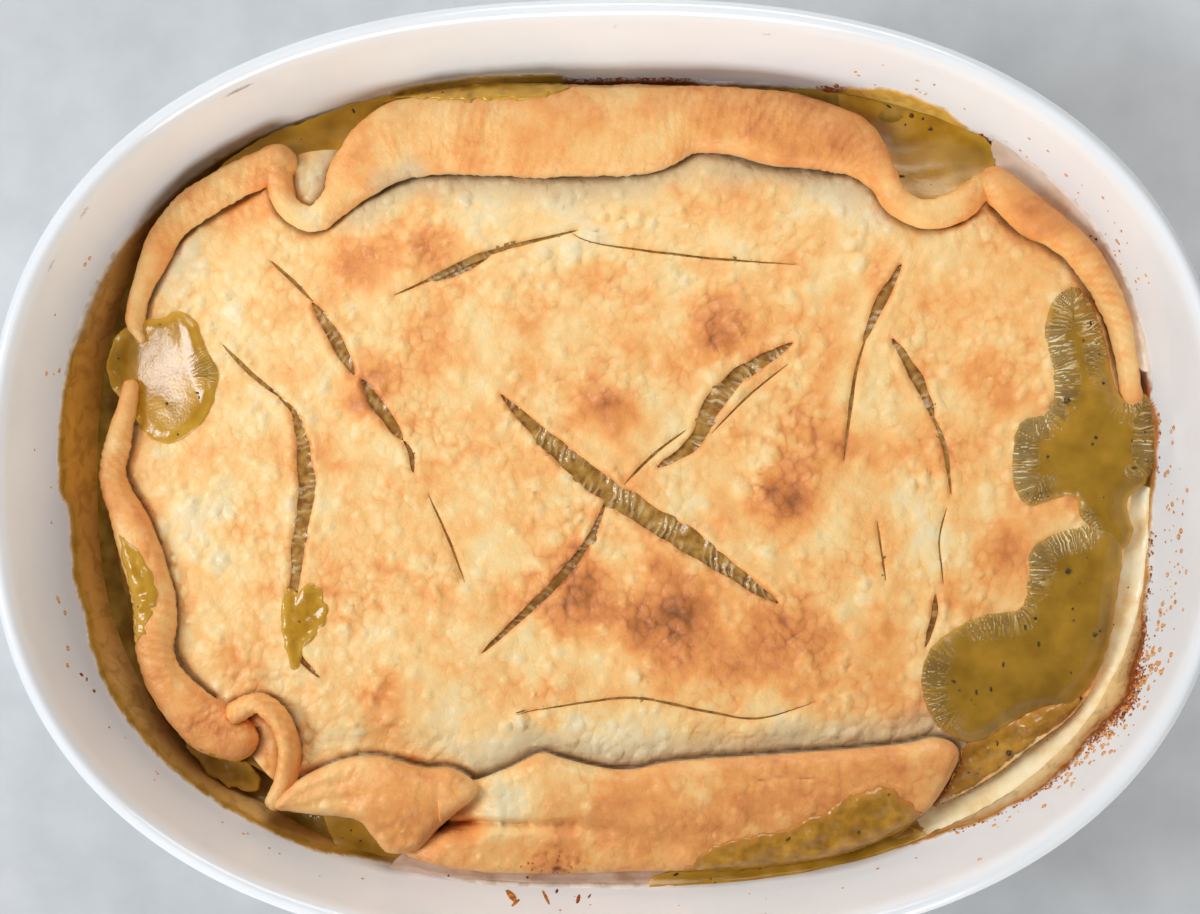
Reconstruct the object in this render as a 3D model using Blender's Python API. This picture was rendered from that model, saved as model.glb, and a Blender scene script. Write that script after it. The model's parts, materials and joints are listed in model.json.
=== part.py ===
"""A chicken pot pie baked in its own oval stoneware dish.

Every size below is in millimetres and becomes metres when a vertex is made. The dish stands on
z = 0 with its middle at x = y = 0, and its length runs along X.
"""

import math

import bmesh
import bpy
from mathutils import Vector

MM = 0.001

# ---------------------------------------------------------------- driving dimensions

DISH_LENGTH = 292.0
DISH_WIDTH = 224.0
DISH_HEIGHT = 75.0
DISH_SIDES = 60
FLOOR_LEVEL = 7.0
GRAVY_LINE = 51.0  # how high the gravy stood against the wall in the oven

# The dish's turned profile, from the middle of the underside, up the outside, over the rim and
# down to the inside floor: inset from the widest outline, height, and the oval's power, where
# 2 is a plain ellipse and more squares its shoulders.
DISH_PROFILE = (
    (34.0, 1.6, 2.5),
    (32.5, 0.0, 2.5),
    (28.5, 0.0, 2.5),
    (26.0, 0.9, 2.5),
    (21.5, 5.0, 2.5),
    (17.5, 13.0, 2.5),
    (11.4, 34.0, 2.48),
    (6.4, 52.0, 2.44),
    (2.8, 64.5, 2.4),
    (0.9, 66.6, 2.38),
    (0.0, 70.2, 2.38),
    (0.8, 73.6, 2.38),
    (2.7, DISH_HEIGHT, 2.38),
    (4.6, 73.8, 2.4),
    (5.6, 71.4, 2.4),
    (12.4, GRAVY_LINE, 2.58),
    (17.6, 34.0, 2.58),
    (24.5, 15.0, 2.58),
    (30.0, 9.4, 2.58),
    (39.0, FLOOR_LEVEL, 2.58),
)
INNER_WALL = DISH_PROFILE[-5:]

GAP = 0.4  # air between two solids that touch in the real dish
FILLING_SIDES = DISH_SIDES // 2
FILLING_BED = 45.6  # top of the filling under the edge of the lid
TROUGH_INSET = 20.5  # the gravy's sunken ring reaches this far in from the widest outline
BED_INSETS = (23.5, 34.0, 48.0, 66.0, 88.0)  # rings of the filling's top under the lid

# The gravy sank unevenly as the pie cooled: degrees anticlockwise from +X, height of the
# gravy between the wall and the crust
GRAVY_LEVELS = (
    (0, 44.0),
    (25, 43.0),
    (48, 45.4),
    (75, 44.0),
    (125, 43.0),
    (165, 40.0),
    (215, 38.5),
    (250, 43.0),
    (300, 45.0),
    (322, 38.5),
    (345, 38.5),
    (360, 44.0),
)

LID_BED = 46.1  # underside of the crust at its edge
LID_RISE = 5.5  # how much higher the underside is in the middle
LID_THICKNESS = 3.2
LID_HALF_LENGTH = 124.0
LID_HALF_WIDTH = 94.0
LID_POWER = 2.6
LID_CELL = 10.0  # grid on which the lid's relief is drawn
FOLD_STEP = 7.0  # distance between two sections along a fold
FOLD_SIDES = 10
FOLD_LIFT = 0.5  # a fold starts this far above the lid's underside

# Broad swellings of the lid over lumps of filling: x, y, radius, rise
SWELLINGS = (
    (28, 36, 15, 1.0),
    (0, 14, 14, 0.8),
    (14, -34, 25, 1.6),
    (44, -38, 18, 1.0),
    (46, 2, 18, 1.2),
    (-50, 54, 17, 0.9),
    (-55, 18, 15, 0.8),
    (-40, -38, 18, 0.7),
)

# The dough that hangs over is folded back on the lid. Each fold goes clockwise as seen from
# above, from the gap on the left side, and its rows are x, y, width and height.
FOLDS = {
    "left_shoulder": (
        (-116, 37, 4, 6),
        (-113, 50, 5.5, 7),
        (-106, 63, 8, 8),
        (-92, 72.5, 9, 8.5),
        (-80, 77.5, 9, 8),
    ),
    "left_tuck": (
        (-80, 76, 6.5, 8),
        (-77.5, 66.5, 6, 7.5),
        (-71, 64, 7, 7),
        (-64, 69.5, 8, 7.5),
        (-58, 79, 11, 8),
    ),
    "top_flap": (
        (-58, 80, 14, 8),
        (-44, 84, 20, 8.5),
        (-20, 84.5, 22, 9),
        (8, 84.5, 22, 9),
        (24, 87, 16, 9),
        (42, 84.5, 18.5, 9),
        (62, 79.5, 16, 8.5),
    ),
    "right_tuck": (
        (64, 77, 10, 8.5),
        (70.5, 68, 6, 8),
        (78.5, 63, 7, 7.5),
        (86, 65, 7.5, 8),
        (92, 70, 6.5, 8),
    ),
    "right_roll": (
        (91, 73.5, 7.5, 8.5),
        (103, 62, 9, 8.5),
        (114, 53, 7.5, 8),
        (121, 38, 9.5, 8),
        (125, 22, 7.5, 7),
        (128, 8, 6, 5.5),
    ),
    "bottom_flap": (
        (105, -60, 8, 5.5),
        (91, -68, 13, 7),
        (77, -75, 19, 8.5),
        (52, -80, 25, 9),
        (23, -82, 26, 9),
        (-8, -83.5, 26, 9),
        (-35, -86, 20, 8),
        (-52, -91, 8, 6),
    ),
    "corner_flap": (
        (-29, -77, 7, 8.5),
        (-42, -78.5, 17, 9.5),
        (-54, -79, 21, 9.5),
        (-66, -77, 15, 9),
        (-80, -78, 7.5, 7.5),
    ),
    "curl": (
        (-81.5, -77, 6, 8),
        (-80.5, -66, 6, 9),
        (-83.5, -58, 6, 9.5),
        (-89.5, -58, 6, 9),
    ),
    "left_roll": (
        (-91, -64, 11, 8),
        (-98, -62, 14, 8.5),
        (-108, -50, 11.5, 9),
        (-113.5, -34, 10.5, 8.5),
        (-116, -18, 11.5, 8.5),
        (-122.5, -1, 7.5, 8),
        (-121, 14, 6, 7.5),
        (-118, 25, 4, 6),
    ),
}

# The lid ends under the folds' middles. It leaves out the small loose folds and has a plain,
# sunken edge on the right, between the right roll and the bottom flap.
LOOSE_FOLDS = ("left_tuck", "curl")
SUNKEN_EDGE = ((126, -3), (121.5, -20), (119, -36), (112.5, -52))

# Steam slits: widest opening, then the points of the cut
SLITS = {
    "cross_long": (5.6, ((-25, 20), (-14, 9), (-1, -2), (11, -10), (23, -18), (42, -31))),
    "cross_short": (2.4, ((2, -5), (-4, -16), (-13, -27), (-30, -43))),
    "cross_gash": (4.4, ((13, 2), (22, 8), (26, 16), (33, 24), (46, 32))),
    "left_outer": (3.6, ((-93, 31), (-82, 22), (-75, 14), (-73, -3), (-75.5, -20), (-76, -42))),
    "left_inner_top": (2.8, ((-80, 51), (-70, 42), (-62, 30), (-59, 25))),
    "left_inner_low": (3.0, ((-58, 23), (-50, 12), (-46.5, 1))),
    "top": (2.8, ((-51, 44.5), (-35, 51), (-24, 55.5), (-6, 59.5))),
    "right_inner": (2.6, ((72.5, 51), (66.5, 40), (61.5, 26), (58, 3))),
    "right_outer": (2.6, ((70, 33), (76, 23), (81, 12), (84, -5))),
}

SLIT_CUTTER_DROP = 4.0  # how far the cutting block starts below the lid's edge
SLIT_CUTTER_HEIGHT = 18.0

# Gravy that boiled over and set on the lid: the points of each outline, clockwise
POOLS = {
    "gravy_pool_left": (
        (-112, 33),
        (-106, 40),
        (-100, 36),
        (-94.5, 25),
        (-98, 15),
        (-108, 9),
        (-115, 13),
    ),
    "gravy_pool_right": (
        (108, 43),
        (113.5, 43),
        (117.5, 30),
        (120, 18),
        (124.5, 6),
        (121.5, -6),
        (104, -8),
        (98.5, 0),
        (100, 10),
        (106.5, 18),
        (106, 32),
    ),
    "gravy_pool_corner": (
        (115, -15),
        (118, -24),
        (115, -40),
        (108, -52),
        (100, -57),
        (91, -60),
        (82, -59),
        (76.5, -48),
        (80, -38),
        (97, -30),
        (104, -20),
    ),
}
POOL_DEPTH = 1.7
POOL_LIP = 0.7  # thickness at the very edge
POOL_ROUNDING = 2.0  # width of the sloping edge
POOL_CELL = 11.0
OUTLINE_STEP = 6.0

GLAZE_WHITE = (0.83, 0.82, 0.80)
GRAVY_OLIVE = (0.27, 0.15, 0.025)
GRAVY_TAN = (0.36, 0.21, 0.05)
BAKED_DOUGH = (0.86, 0.52, 0.20)


# ---------------------------------------------------------------- shape functions


def oval_point(turn, half_length, half_width, power):
    """The point of a superellipse at this angle, drawn so that the points space evenly."""
    across, along = math.cos(turn), math.sin(turn)
    reach = (abs(across) ** power + abs(along) ** power) ** (-1.0 / power)
    return half_length * across * reach, half_width * along * reach


def spot_on_oval(turn, inset, height, power):
    """A point at this inset from the dish's widest outline, in metres."""
    x, y = oval_point(turn, DISH_LENGTH / 2 - inset, DISH_WIDTH / 2 - inset, power)
    return Vector((x, y, height)) * MM


def oval_ring(bm, sides, inset, height, power):
    turns = [math.tau * i / sides for i in range(sides)]
    return closed_loop(bm, [spot_on_oval(turn, inset, height, power) for turn in turns])


def closed_loop(bm, spots):
    """A closed loop of edges through these points."""
    verts = [bm.verts.new(spot) for spot in spots]
    return [bm.edges.new((verts[i - 1], verts[i])) for i in range(len(verts))]


def bridged(bm, rings):
    """Walls between neighbouring rings, and a face over the first and the last."""
    for lower, upper in zip(rings, rings[1:]):
        bmesh.ops.bridge_loops(bm, edges=lower + upper)
    for end in (rings[0], rings[-1]):
        bmesh.ops.contextual_create(bm, geom=end)


def lid_rise(x, y):
    """How far the lid's underside is above its edge, swollen most in the middle."""
    reach = (abs(x / LID_HALF_LENGTH) ** LID_POWER + abs(y / LID_HALF_WIDTH) ** LID_POWER) ** (
        1.0 / LID_POWER
    )
    return LID_RISE * max(0.0, 1.0 - reach**2)


def swelling(x, y):
    """The relief of the lid's top over the lumps in the filling."""
    total = 0.0
    for middle_x, middle_y, radius, rise in SWELLINGS:
        near = 1.0 - ((x - middle_x) ** 2 + (y - middle_y) ** 2) / radius**2
        total += rise * max(0.0, near) ** 2
    return total


def lid_under(x, y):
    return LID_BED + lid_rise(x, y)


def lid_top(x, y):
    return lid_under(x, y) + LID_THICKNESS + swelling(x, y)


def smooth_course(rows, step, closed=False):
    """Rows along a Catmull-Rom curve through the given rows, about one step apart."""
    count = len(rows)
    course = []
    for i in range(count if closed else count - 1):
        if closed:
            around = [rows[(i + k) % count] for k in (-1, 0, 1, 2)]
        else:
            around = [rows[min(max(i + k, 0), count - 1)] for k in (-1, 0, 1, 2)]
        before, start, end, after = (Vector(row) for row in around)
        cuts = max(1, round((end.xy - start.xy).length / step))
        for j in range(cuts):
            t = j / cuts
            course.append(
                0.5
                * (
                    2 * start
                    + (end - before) * t
                    + (2 * before - 5 * start + 4 * end - after) * t**2
                    + (3 * start - before - 3 * end + after) * t**3
                )
            )
    if not closed:
        course.append(Vector(rows[-1]))
    return course


def outline_face(bm, points):
    """One flat face inside a closed outline, at z = 0."""
    return bm.faces.new([bm.verts.new((x * MM, y * MM, 0.0)) for x, y in points])


def cut_into_cells(bm, cell, spare_rim=False):
    """Lines of edges across a flat mesh, one cell apart both ways, so that it can bend."""
    reach = int(DISH_LENGTH / 2 / cell) + 1
    for axis in (Vector((1, 0, 0)), Vector((0, 1, 0))):
        for i in range(-reach, reach + 1):
            faces = [f for f in bm.faces if not (spare_rim and on_rim(f))]
            edges = dict.fromkeys(edge for face in faces for edge in face.edges)
            verts = dict.fromkeys(vert for face in faces for vert in face.verts)
            bmesh.ops.bisect_plane(
                bm,
                geom=[*verts, *edges, *faces],
                dist=1e-7,
                plane_co=axis * (i * cell * MM),
                plane_no=axis,
            )


def on_rim(face):
    return any(vert.is_boundary for vert in face.verts)


def give_thickness(bm, low, high):
    """Turns a flat mesh into a solid between two height functions of a vertex's x and y."""
    rim = bm.verts.layers.int.new("rim")
    bottom = bm.verts[:]
    for vert in bottom:
        vert[rim] = vert.is_boundary
    raised = bmesh.ops.extrude_face_region(bm, geom=bm.faces[:])["geom"]
    for vert in raised_verts(raised):
        vert.co.z = high(vert.co.x / MM, vert.co.y / MM, vert[rim]) * MM
    for vert in bottom:
        vert.co.z = low(vert.co.x / MM, vert.co.y / MM) * MM
    bmesh.ops.triangulate(bm, faces=bm.faces[:])


def raised_verts(geometry):
    return [item for item in geometry if isinstance(item, bmesh.types.BMVert)]


# ---------------------------------------------------------------- objects and finishes


def finish(name, bm, material):
    """An object from a bmesh, with its faces pointing out."""
    bmesh.ops.recalc_face_normals(bm, faces=bm.faces[:])
    mesh = bpy.data.meshes.new(name)
    bm.to_mesh(mesh)
    bm.free()
    mesh.shade_smooth()
    mesh.set_sharp_from_angle(angle=math.radians(40))
    mesh.materials.append(material)
    thing = bpy.data.objects.new(name, mesh)
    bpy.context.scene.collection.objects.link(thing)
    return thing


def guide(name, bm, material):
    """An object that only shapes another one."""
    thing = finish(name, bm, material)
    thing.hide_render = True
    thing.display_type = "WIRE"
    return thing


def boolean(target, tool, operation):
    step = target.modifiers.new(f"{operation.lower()} {tool.name}", "BOOLEAN")
    step.operation = operation
    step.solver = "EXACT"
    step.object = tool


def food_material(name, colour, roughness):
    material = bpy.data.materials.new(name)
    material.use_nodes = True
    shader = material.node_tree.nodes["Principled BSDF"]
    shader.inputs["Base Color"].default_value = (*colour, 1.0)
    shader.inputs["Roughness"].default_value = roughness
    shader.inputs["Metallic"].default_value = 0.0
    return material


# ---------------------------------------------------------------- the pieces


def make_dish():
    bm = bmesh.new()
    bridged(bm, [oval_ring(bm, DISH_SIDES, *row) for row in DISH_PROFILE])
    return finish("dish", bm, food_material("glazed_stoneware", GLAZE_WHITE, 0.18))


def wall_inset(height):
    """Inset of the dish's inner wall at this height, between the rows of its profile."""
    for (inset_high, high, _), (inset_low, low, _) in zip(INNER_WALL, INNER_WALL[1:]):
        if height >= low:
            return inset_low + (inset_high - inset_low) * (height - low) / (high - low)
    return INNER_WALL[-1][0]


def gravy_level(degrees):
    """Height of the sunken gravy at this angle, between the rows of GRAVY_LEVELS."""
    for (start, low), (end, high) in zip(GRAVY_LEVELS, GRAVY_LEVELS[1:]):
        if start <= degrees <= end:
            return low + (high - low) * (degrees - start) / (end - start)
    return GRAVY_LEVELS[0][1]


def make_filling():
    """Chicken, vegetables and gravy: it fills the dish and swells up under the lid."""
    power = INNER_WALL[0][2]
    turns = [math.tau * i / FILLING_SIDES for i in range(FILLING_SIDES)]
    levels = [gravy_level(math.degrees(turn)) for turn in turns]
    bm = bmesh.new()
    rings = [
        oval_ring(bm, FILLING_SIDES, inset + GAP, height + GAP, power)
        for inset, height, _ in reversed(INNER_WALL[1:])
    ]
    wall_insets = [wall_inset(level) + GAP for level in levels]
    for insets in (wall_insets, [TROUGH_INSET] * FILLING_SIDES):
        spots = [spot_on_oval(*row, power) for row in zip(turns, insets, levels)]
        rings.append(closed_loop(bm, spots))
    for inset in BED_INSETS:
        spots = [spot_on_oval(turn, inset, FILLING_BED, power) for turn in turns]
        for spot in spots:
            spot.z += lid_rise(spot.x / MM, spot.y / MM) * MM
        rings.append(closed_loop(bm, spots))
    bridged(bm, rings)
    return finish("filling", bm, food_material("pie_filling", GRAVY_TAN, 0.25))


def lid_outline():
    """The lid's edge: the middles of the folds that grow out of it, and the sunken edge."""
    rows = []
    for name, fold in FOLDS.items():
        if name == "bottom_flap":
            rows += SUNKEN_EDGE
        if name not in LOOSE_FOLDS:
            rows += [row[:2] for row in fold]
    return rows


def make_lid():
    bm = bmesh.new()
    outline_face(bm, lid_outline())
    cut_into_cells(bm, LID_CELL)
    give_thickness(bm, lid_under, lambda x, y, at_edge: lid_top(x, y))
    return finish("crust", bm, food_material("baked_shortcrust", BAKED_DOUGH, 0.55))


def fold_ring(bm, centre, sideways, width, height, base):
    """One upright section of a fold: a rounded box, wider than it is high."""
    spots = []
    for i in range(FOLD_SIDES):
        across, up = oval_point(math.tau * (i + 0.5) / FOLD_SIDES, width / 2, height / 2, 2.6)
        spots.append((centre + sideways * across).to_3d() * MM)
        spots[-1].z = (base + height / 2 + up) * MM
    return closed_loop(bm, spots)


def make_fold(name, rows, material):
    """A strip of dough along its course, with rounded ends."""
    course = smooth_course(rows, FOLD_STEP)
    bm = bmesh.new()
    rings = []
    for i, row in enumerate(course):
        x, y, width, height = row
        forward = (course[min(i + 1, len(course) - 1)] - course[max(i - 1, 0)]).xy.normalized()
        sideways = Vector((-forward.y, forward.x))
        base = lid_under(x, y) + FOLD_LIFT
        centre = Vector((x, y))
        if i == 0:
            tip = centre - forward * width * 0.3
            rings.append(fold_ring(bm, tip, sideways, width * 0.5, height * 0.7, base))
        rings.append(fold_ring(bm, centre, sideways, width, height, base))
        if i == len(course) - 1:
            tip = centre + forward * width * 0.3
            rings.append(fold_ring(bm, tip, sideways, width * 0.5, height * 0.7, base))
    bridged(bm, rings)
    return guide(name, bm, material)


def make_slit(name, opening, points, material):
    """A blade-shaped block along a cut: widest in the middle, and a point at each end."""
    course = smooth_course(points, OUTLINE_STEP)
    last = len(course) - 1
    left, right = [], []
    for i in range(1, last):
        forward = (course[i + 1] - course[i - 1]).normalized()
        sideways = Vector((-forward.y, forward.x))
        half = opening / 2 * math.sin(math.pi * i / last) ** 0.7
        left.append(course[i] + sideways * half)
        right.append(course[i] - sideways * half)
    bm = bmesh.new()
    face = outline_face(bm, [course[0], *right, course[last], *reversed(left)])
    bmesh.ops.translate(bm, verts=bm.verts[:], vec=(0, 0, (LID_BED - SLIT_CUTTER_DROP) * MM))
    block = bmesh.ops.extrude_face_region(bm, geom=[face])["geom"]
    bmesh.ops.translate(bm, verts=raised_verts(block), vec=(0, 0, SLIT_CUTTER_HEIGHT * MM))
    return guide(name, bm, material)


def make_crust():
    """The lid, joined with its folds and opened by its slits."""
    crust = make_lid()
    material = crust.data.materials[0]
    for name, rows in FOLDS.items():
        boolean(crust, make_fold(f"fold_{name}", rows, material), "UNION")
    for name, (opening, points) in SLITS.items():
        boolean(crust, make_slit(f"slit_{name}", opening, points, material), "DIFFERENCE")
    return crust


def make_pool(name, points):
    """Set gravy on the lid, thin at its edge and POOL_DEPTH deep inside."""

    def low(x, y):
        return lid_top(x, y) + GAP

    def high(x, y, at_edge):
        return low(x, y) + (POOL_LIP if at_edge else POOL_DEPTH)

    bm = bmesh.new()
    face = outline_face(bm, smooth_course(points, OUTLINE_STEP, closed=True))
    bmesh.ops.inset_individual(bm, faces=[face], thickness=POOL_ROUNDING * MM)
    cut_into_cells(bm, POOL_CELL, spare_rim=True)
    give_thickness(bm, low, high)
    return finish(name, bm, food_material(f"{name}_gravy", GRAVY_OLIVE, 0.2))


def main():
    for thing in list(bpy.data.objects):
        bpy.data.objects.remove(thing)
    make_dish()
    make_filling()
    make_crust()
    for name, points in POOLS.items():
        make_pool(name, points)


main()
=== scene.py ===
"""The looks of a chicken pot pie baked in its own oval stoneware dish.

Named sizes are in millimetres and become metres when a vertex is placed. The dish stands on
z = 0 with its middle at x = y = 0, its length along X, as the frame has it.
"""

import json
import math
import random

import bmesh
import bpy
from mathutils import Matrix, Quaternion, Vector, kdtree, noise
from mathutils.bvhtree import BVHTree
from mathutils.geometry import intersect_point_line

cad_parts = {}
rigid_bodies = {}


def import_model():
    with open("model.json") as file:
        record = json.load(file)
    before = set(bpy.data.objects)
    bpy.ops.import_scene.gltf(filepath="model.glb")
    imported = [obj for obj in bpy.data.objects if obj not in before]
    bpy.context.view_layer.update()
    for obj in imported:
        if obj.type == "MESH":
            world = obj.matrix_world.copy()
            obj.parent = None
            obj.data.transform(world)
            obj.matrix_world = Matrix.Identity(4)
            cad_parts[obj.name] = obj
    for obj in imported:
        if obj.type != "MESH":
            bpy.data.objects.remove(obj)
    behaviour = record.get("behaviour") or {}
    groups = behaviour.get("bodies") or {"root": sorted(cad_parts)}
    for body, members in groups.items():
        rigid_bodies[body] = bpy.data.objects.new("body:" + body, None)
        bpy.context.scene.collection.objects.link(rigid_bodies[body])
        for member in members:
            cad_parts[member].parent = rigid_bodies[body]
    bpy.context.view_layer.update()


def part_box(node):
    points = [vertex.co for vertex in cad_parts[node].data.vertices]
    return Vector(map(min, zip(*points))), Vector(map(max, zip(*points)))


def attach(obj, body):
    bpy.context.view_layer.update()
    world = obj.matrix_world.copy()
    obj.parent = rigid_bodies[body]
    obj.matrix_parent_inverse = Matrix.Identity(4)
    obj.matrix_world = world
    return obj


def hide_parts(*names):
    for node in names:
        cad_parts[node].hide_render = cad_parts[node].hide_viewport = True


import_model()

MM = 0.001

# ---------------------------------------------------------------- driving sizes

low_corner, high_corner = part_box("dish")
HALF_LENGTH = (high_corner.x - low_corner.x) / 2 / MM
HALF_WIDTH = (high_corner.y - low_corner.y) / 2 / MM
RIM_HEIGHT = high_corner.z / MM
LID_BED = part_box("crust")[0].z / MM  # underside of the crust at its edge
LID_RISE = 5.5
LID_THICKNESS = 3.2
LID_HALF_LENGTH = 124.0
LID_HALF_WIDTH = 94.0
LID_POWER = 2.6
LID_CELL = 0.66  # the relief of the lid is drawn on cells this wide

# The dish's turned profile, from the middle of its underside up the outside, over the rim and
# down inside: inset from the widest outline, height and the oval's power
DISH_PROFILE = (
    (34.0, 1.6, 2.5),
    (32.5, 0.0, 2.5),
    (28.5, 0.0, 2.5),
    (26.0, 0.9, 2.5),
    (21.5, 5.0, 2.5),
    (17.5, 13.0, 2.5),
    (11.4, 34.0, 2.48),
    (6.4, 52.0, 2.44),
    (2.8, 64.5, 2.4),
    (0.9, 66.6, 2.38),
    (0.0, 70.2, 2.38),
    (0.8, 73.6, 2.38),
    (2.7, RIM_HEIGHT, 2.38),
    (4.6, 73.8, 2.4),
    (5.6, 71.4, 2.4),
    (12.4, 51.0, 2.58),
    (17.6, 34.0, 2.58),
    (24.5, 15.0, 2.58),
    (30.0, 9.4, 2.58),
    (39.0, 7.0, 2.58),
)
INNER_WALL = DISH_PROFILE[-6:]
WALL_POWER = 2.58

# Broad swellings of the lid over lumps of filling: x, y, radius, rise
SWELLINGS = (
    (28, 36, 15, 1.0),
    (0, 14, 14, 0.8),
    (14, -34, 25, 1.6),
    (44, -38, 18, 1.0),
    (46, 2, 18, 1.2),
    (-50, 54, 17, 0.9),
    (-55, 18, 15, 0.8),
    (-40, -38, 18, 0.7),
    (-119, 24, 20, -2.6),
    (-71, 74, 11, 1.3),
)

# The folds of the crust, clockwise as seen from above: x, y, width and height
FOLDS = {
    "left_shoulder": (
        (-114.5, 34.5, 2.4, 4.5),
        (-116, 40, 5, 6.5),
        (-113, 50, 6, 7),
        (-106, 63, 8, 8),
        (-92, 72.5, 9, 8.5),
        (-80, 77.5, 9, 8),
    ),
    "top_flap": (
        (-80, 76, 6.5, 8),
        (-77.8, 67, 5.8, 7.5),
        (-71, 63.6, 6.5, 6.5),
        (-65.5, 68, 8, 7.2),
        (-60.8, 74, 13.5, 8),
        (-53.5, 80.5, 18.5, 8.4),
        (-44, 84, 20, 8.5),
        (-20, 84.5, 22, 9),
        (8, 84.5, 22, 9),
        (24, 87, 16, 9),
        (42, 84.5, 18.5, 9),
        (60, 80, 15, 8.5),
        (68, 72, 7.5, 8.5),
        (71.5, 66, 6, 8),
        (78.5, 63, 7, 7.5),
        (86, 65, 7.5, 7.6),
        (92.5, 70.5, 6, 6.4),
    ),
    "right_roll": (
        (95, 70.6, 8, 9),
        (101.6, 64, 9.6, 9.2),
        (108.6, 59.2, 8.4, 8.8),
        (114.9, 54, 7.4, 8.4),
        (119, 48.6, 7, 8),
        (122.5, 42.6, 6.6, 7.6),
        (125, 36, 6.2, 7),
        (126.4, 28.5, 5.8, 6.4),
        (128, 20, 5.2, 4.8),
        (129.2, 12.5, 4.4, 1.6),
    ),
    "tail": (
        (110.8, -56, 3.2, 3.8),
        (107.6, -58.4, 4, 4.8),
        (102, -61.4, 3.4, 4.4),
    ),
    "curl": (
        (-81.5, -79, 5.4, 8),
        (-79, -75, 5.2, 8.5),
        (-77.6, -66, 5, 9),
        (-79.8, -59.2, 5, 9.5),
        (-85.3, -55.2, 5, 9.5),
        (-90.5, -57.5, 5.4, 9),
    ),
    "left_roll": (
        (-91, -64, 11, 8),
        (-98, -61, 13, 8.5),
        (-106.5, -52, 10.5, 9),
        (-110.5, -43, 9.5, 8.5),
        (-111, -31, 10.5, 8.5),
        (-115.5, -15, 10, 8.5),
        (-121.2, 0, 6.6, 7.8),
        (-119.6, 10, 6, 7.4),
        (-118, 18, 4.8, 6.4),
        (-117.2, 22.5, 3.8, 5),
    ),
}

# Flaps folded back over the lid: the height of their top, the line on which they stand and
# their outline
FLAPS = {
    "bottom_flap": (
        8.6,
        ((-42, -91), (-20, -88), (10, -83), (40, -81), (62, -77), (76, -72)),
        (
            (-36, -75), (-30.4, -73.4), (-23, -70.5), (-15.9, -67.1), (-10.7, -68.3),
            (-2.4, -70.4), (5.9, -71.1), (17, -69), (37.8, -67.6), (58.6, -66.2), (72.4, -64.9),
            (79.4, -63.5), (84.5, -65.5), (84.6, -70.4), (76.6, -82.2), (60, -90.5), (40, -94.5),
            (17, -96), (3.9, -96.3), (-13.8, -97), (-31.6, -96.4), (-43.7, -94.3), (-50, -91.5),
            (-47, -88), (-40, -86), (-38, -80),
        ),
    ),
    "corner_flap": (
        10.5,
        ((-76, -78), (-62, -77), (-50, -79), (-37, -77)),
        (
            (-81.2, -80.5), (-76.4, -74.6), (-65.5, -69.1), (-56, -67.8), (-45, -70.5),
            (-36.9, -70.9), (-30.6, -76), (-36.9, -82.1), (-41, -85.8), (-46, -91),
            (-53.3, -91.6), (-57.5, -87), (-61.4, -83.4), (-73.7, -82.1),
        ),
    ),
}

# Creases of the flaps: depth, width and their points
CREASES = (
    (4.2, 1.1, ((-40, -85.4), (-33, -84.8), (-27, -84.5))),
    (3.0, 1.3, ((-24.5, -84.5), (-19, -84.5))),
    (1.8, 1.6, ((-16.5, -84.6), (-8, -84.8))),
    (1.0, 2.4, ((-9, -84.8), (0, -85.5))),
    (0.7, 3.0, ((0, -85.5), (8, -87), (16, -89))),
    (1.4, 2.2, ((-46, -90.5), (-39, -87), (-33, -86))),
    (0.7, 0.4, ((37, -73.4), (43, -72.6), (50, -73))),
    (0.5, 0.4, ((60, -75), (66, -73), (70, -74))),
    (0.8, 1.6, ((-78, -79.5), (-70, -75), (-64, -74))),
    (0.7, 1.5, ((-76, -80.5), (-68, -78.5), (-62, -78))),
)

# Hollows and swellings of the flaps: x, y, radius, rise
FLAP_SWELLINGS = (
    (-34, -81, 9, -4.0),
    (-24, -76, 10, -1.4),
    (-52, -76, 14, 1.2),
    (20, -82, 24, 1.0),
    (58, -78, 20, 0.8),
    (80, -68, 10, 0.6),
)

# Edge of the lid, clockwise: under the folds' middles, then the sunken edge on the right
LID_EDGE = (
    (-118, 28), (-114, 48), (-105, 63), (-92, 72), (-84, 77), (-72, 80.5), (-60, 81), (-48, 83),
    (-20, 86), (20, 87), (48, 84), (66, 77), (72, 66), (86, 65), (94, 70), (103, 62), (114, 53),
    (121, 38), (127, 20), (129, 6), (127.5, -6), (125.5, -20), (122.8, -36), (119, -50),
    (112.5, -59), (104, -65.4), (96.3, -71.5), (86.5, -77.6), (76, -81), (50, -82), (20, -83),
    (-20, -84), (-52, -83), (-76, -79), (-90, -66), (-106, -52), (-113, -36), (-116, -20),
    (-121, -2), (-121, 14),
)

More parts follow.
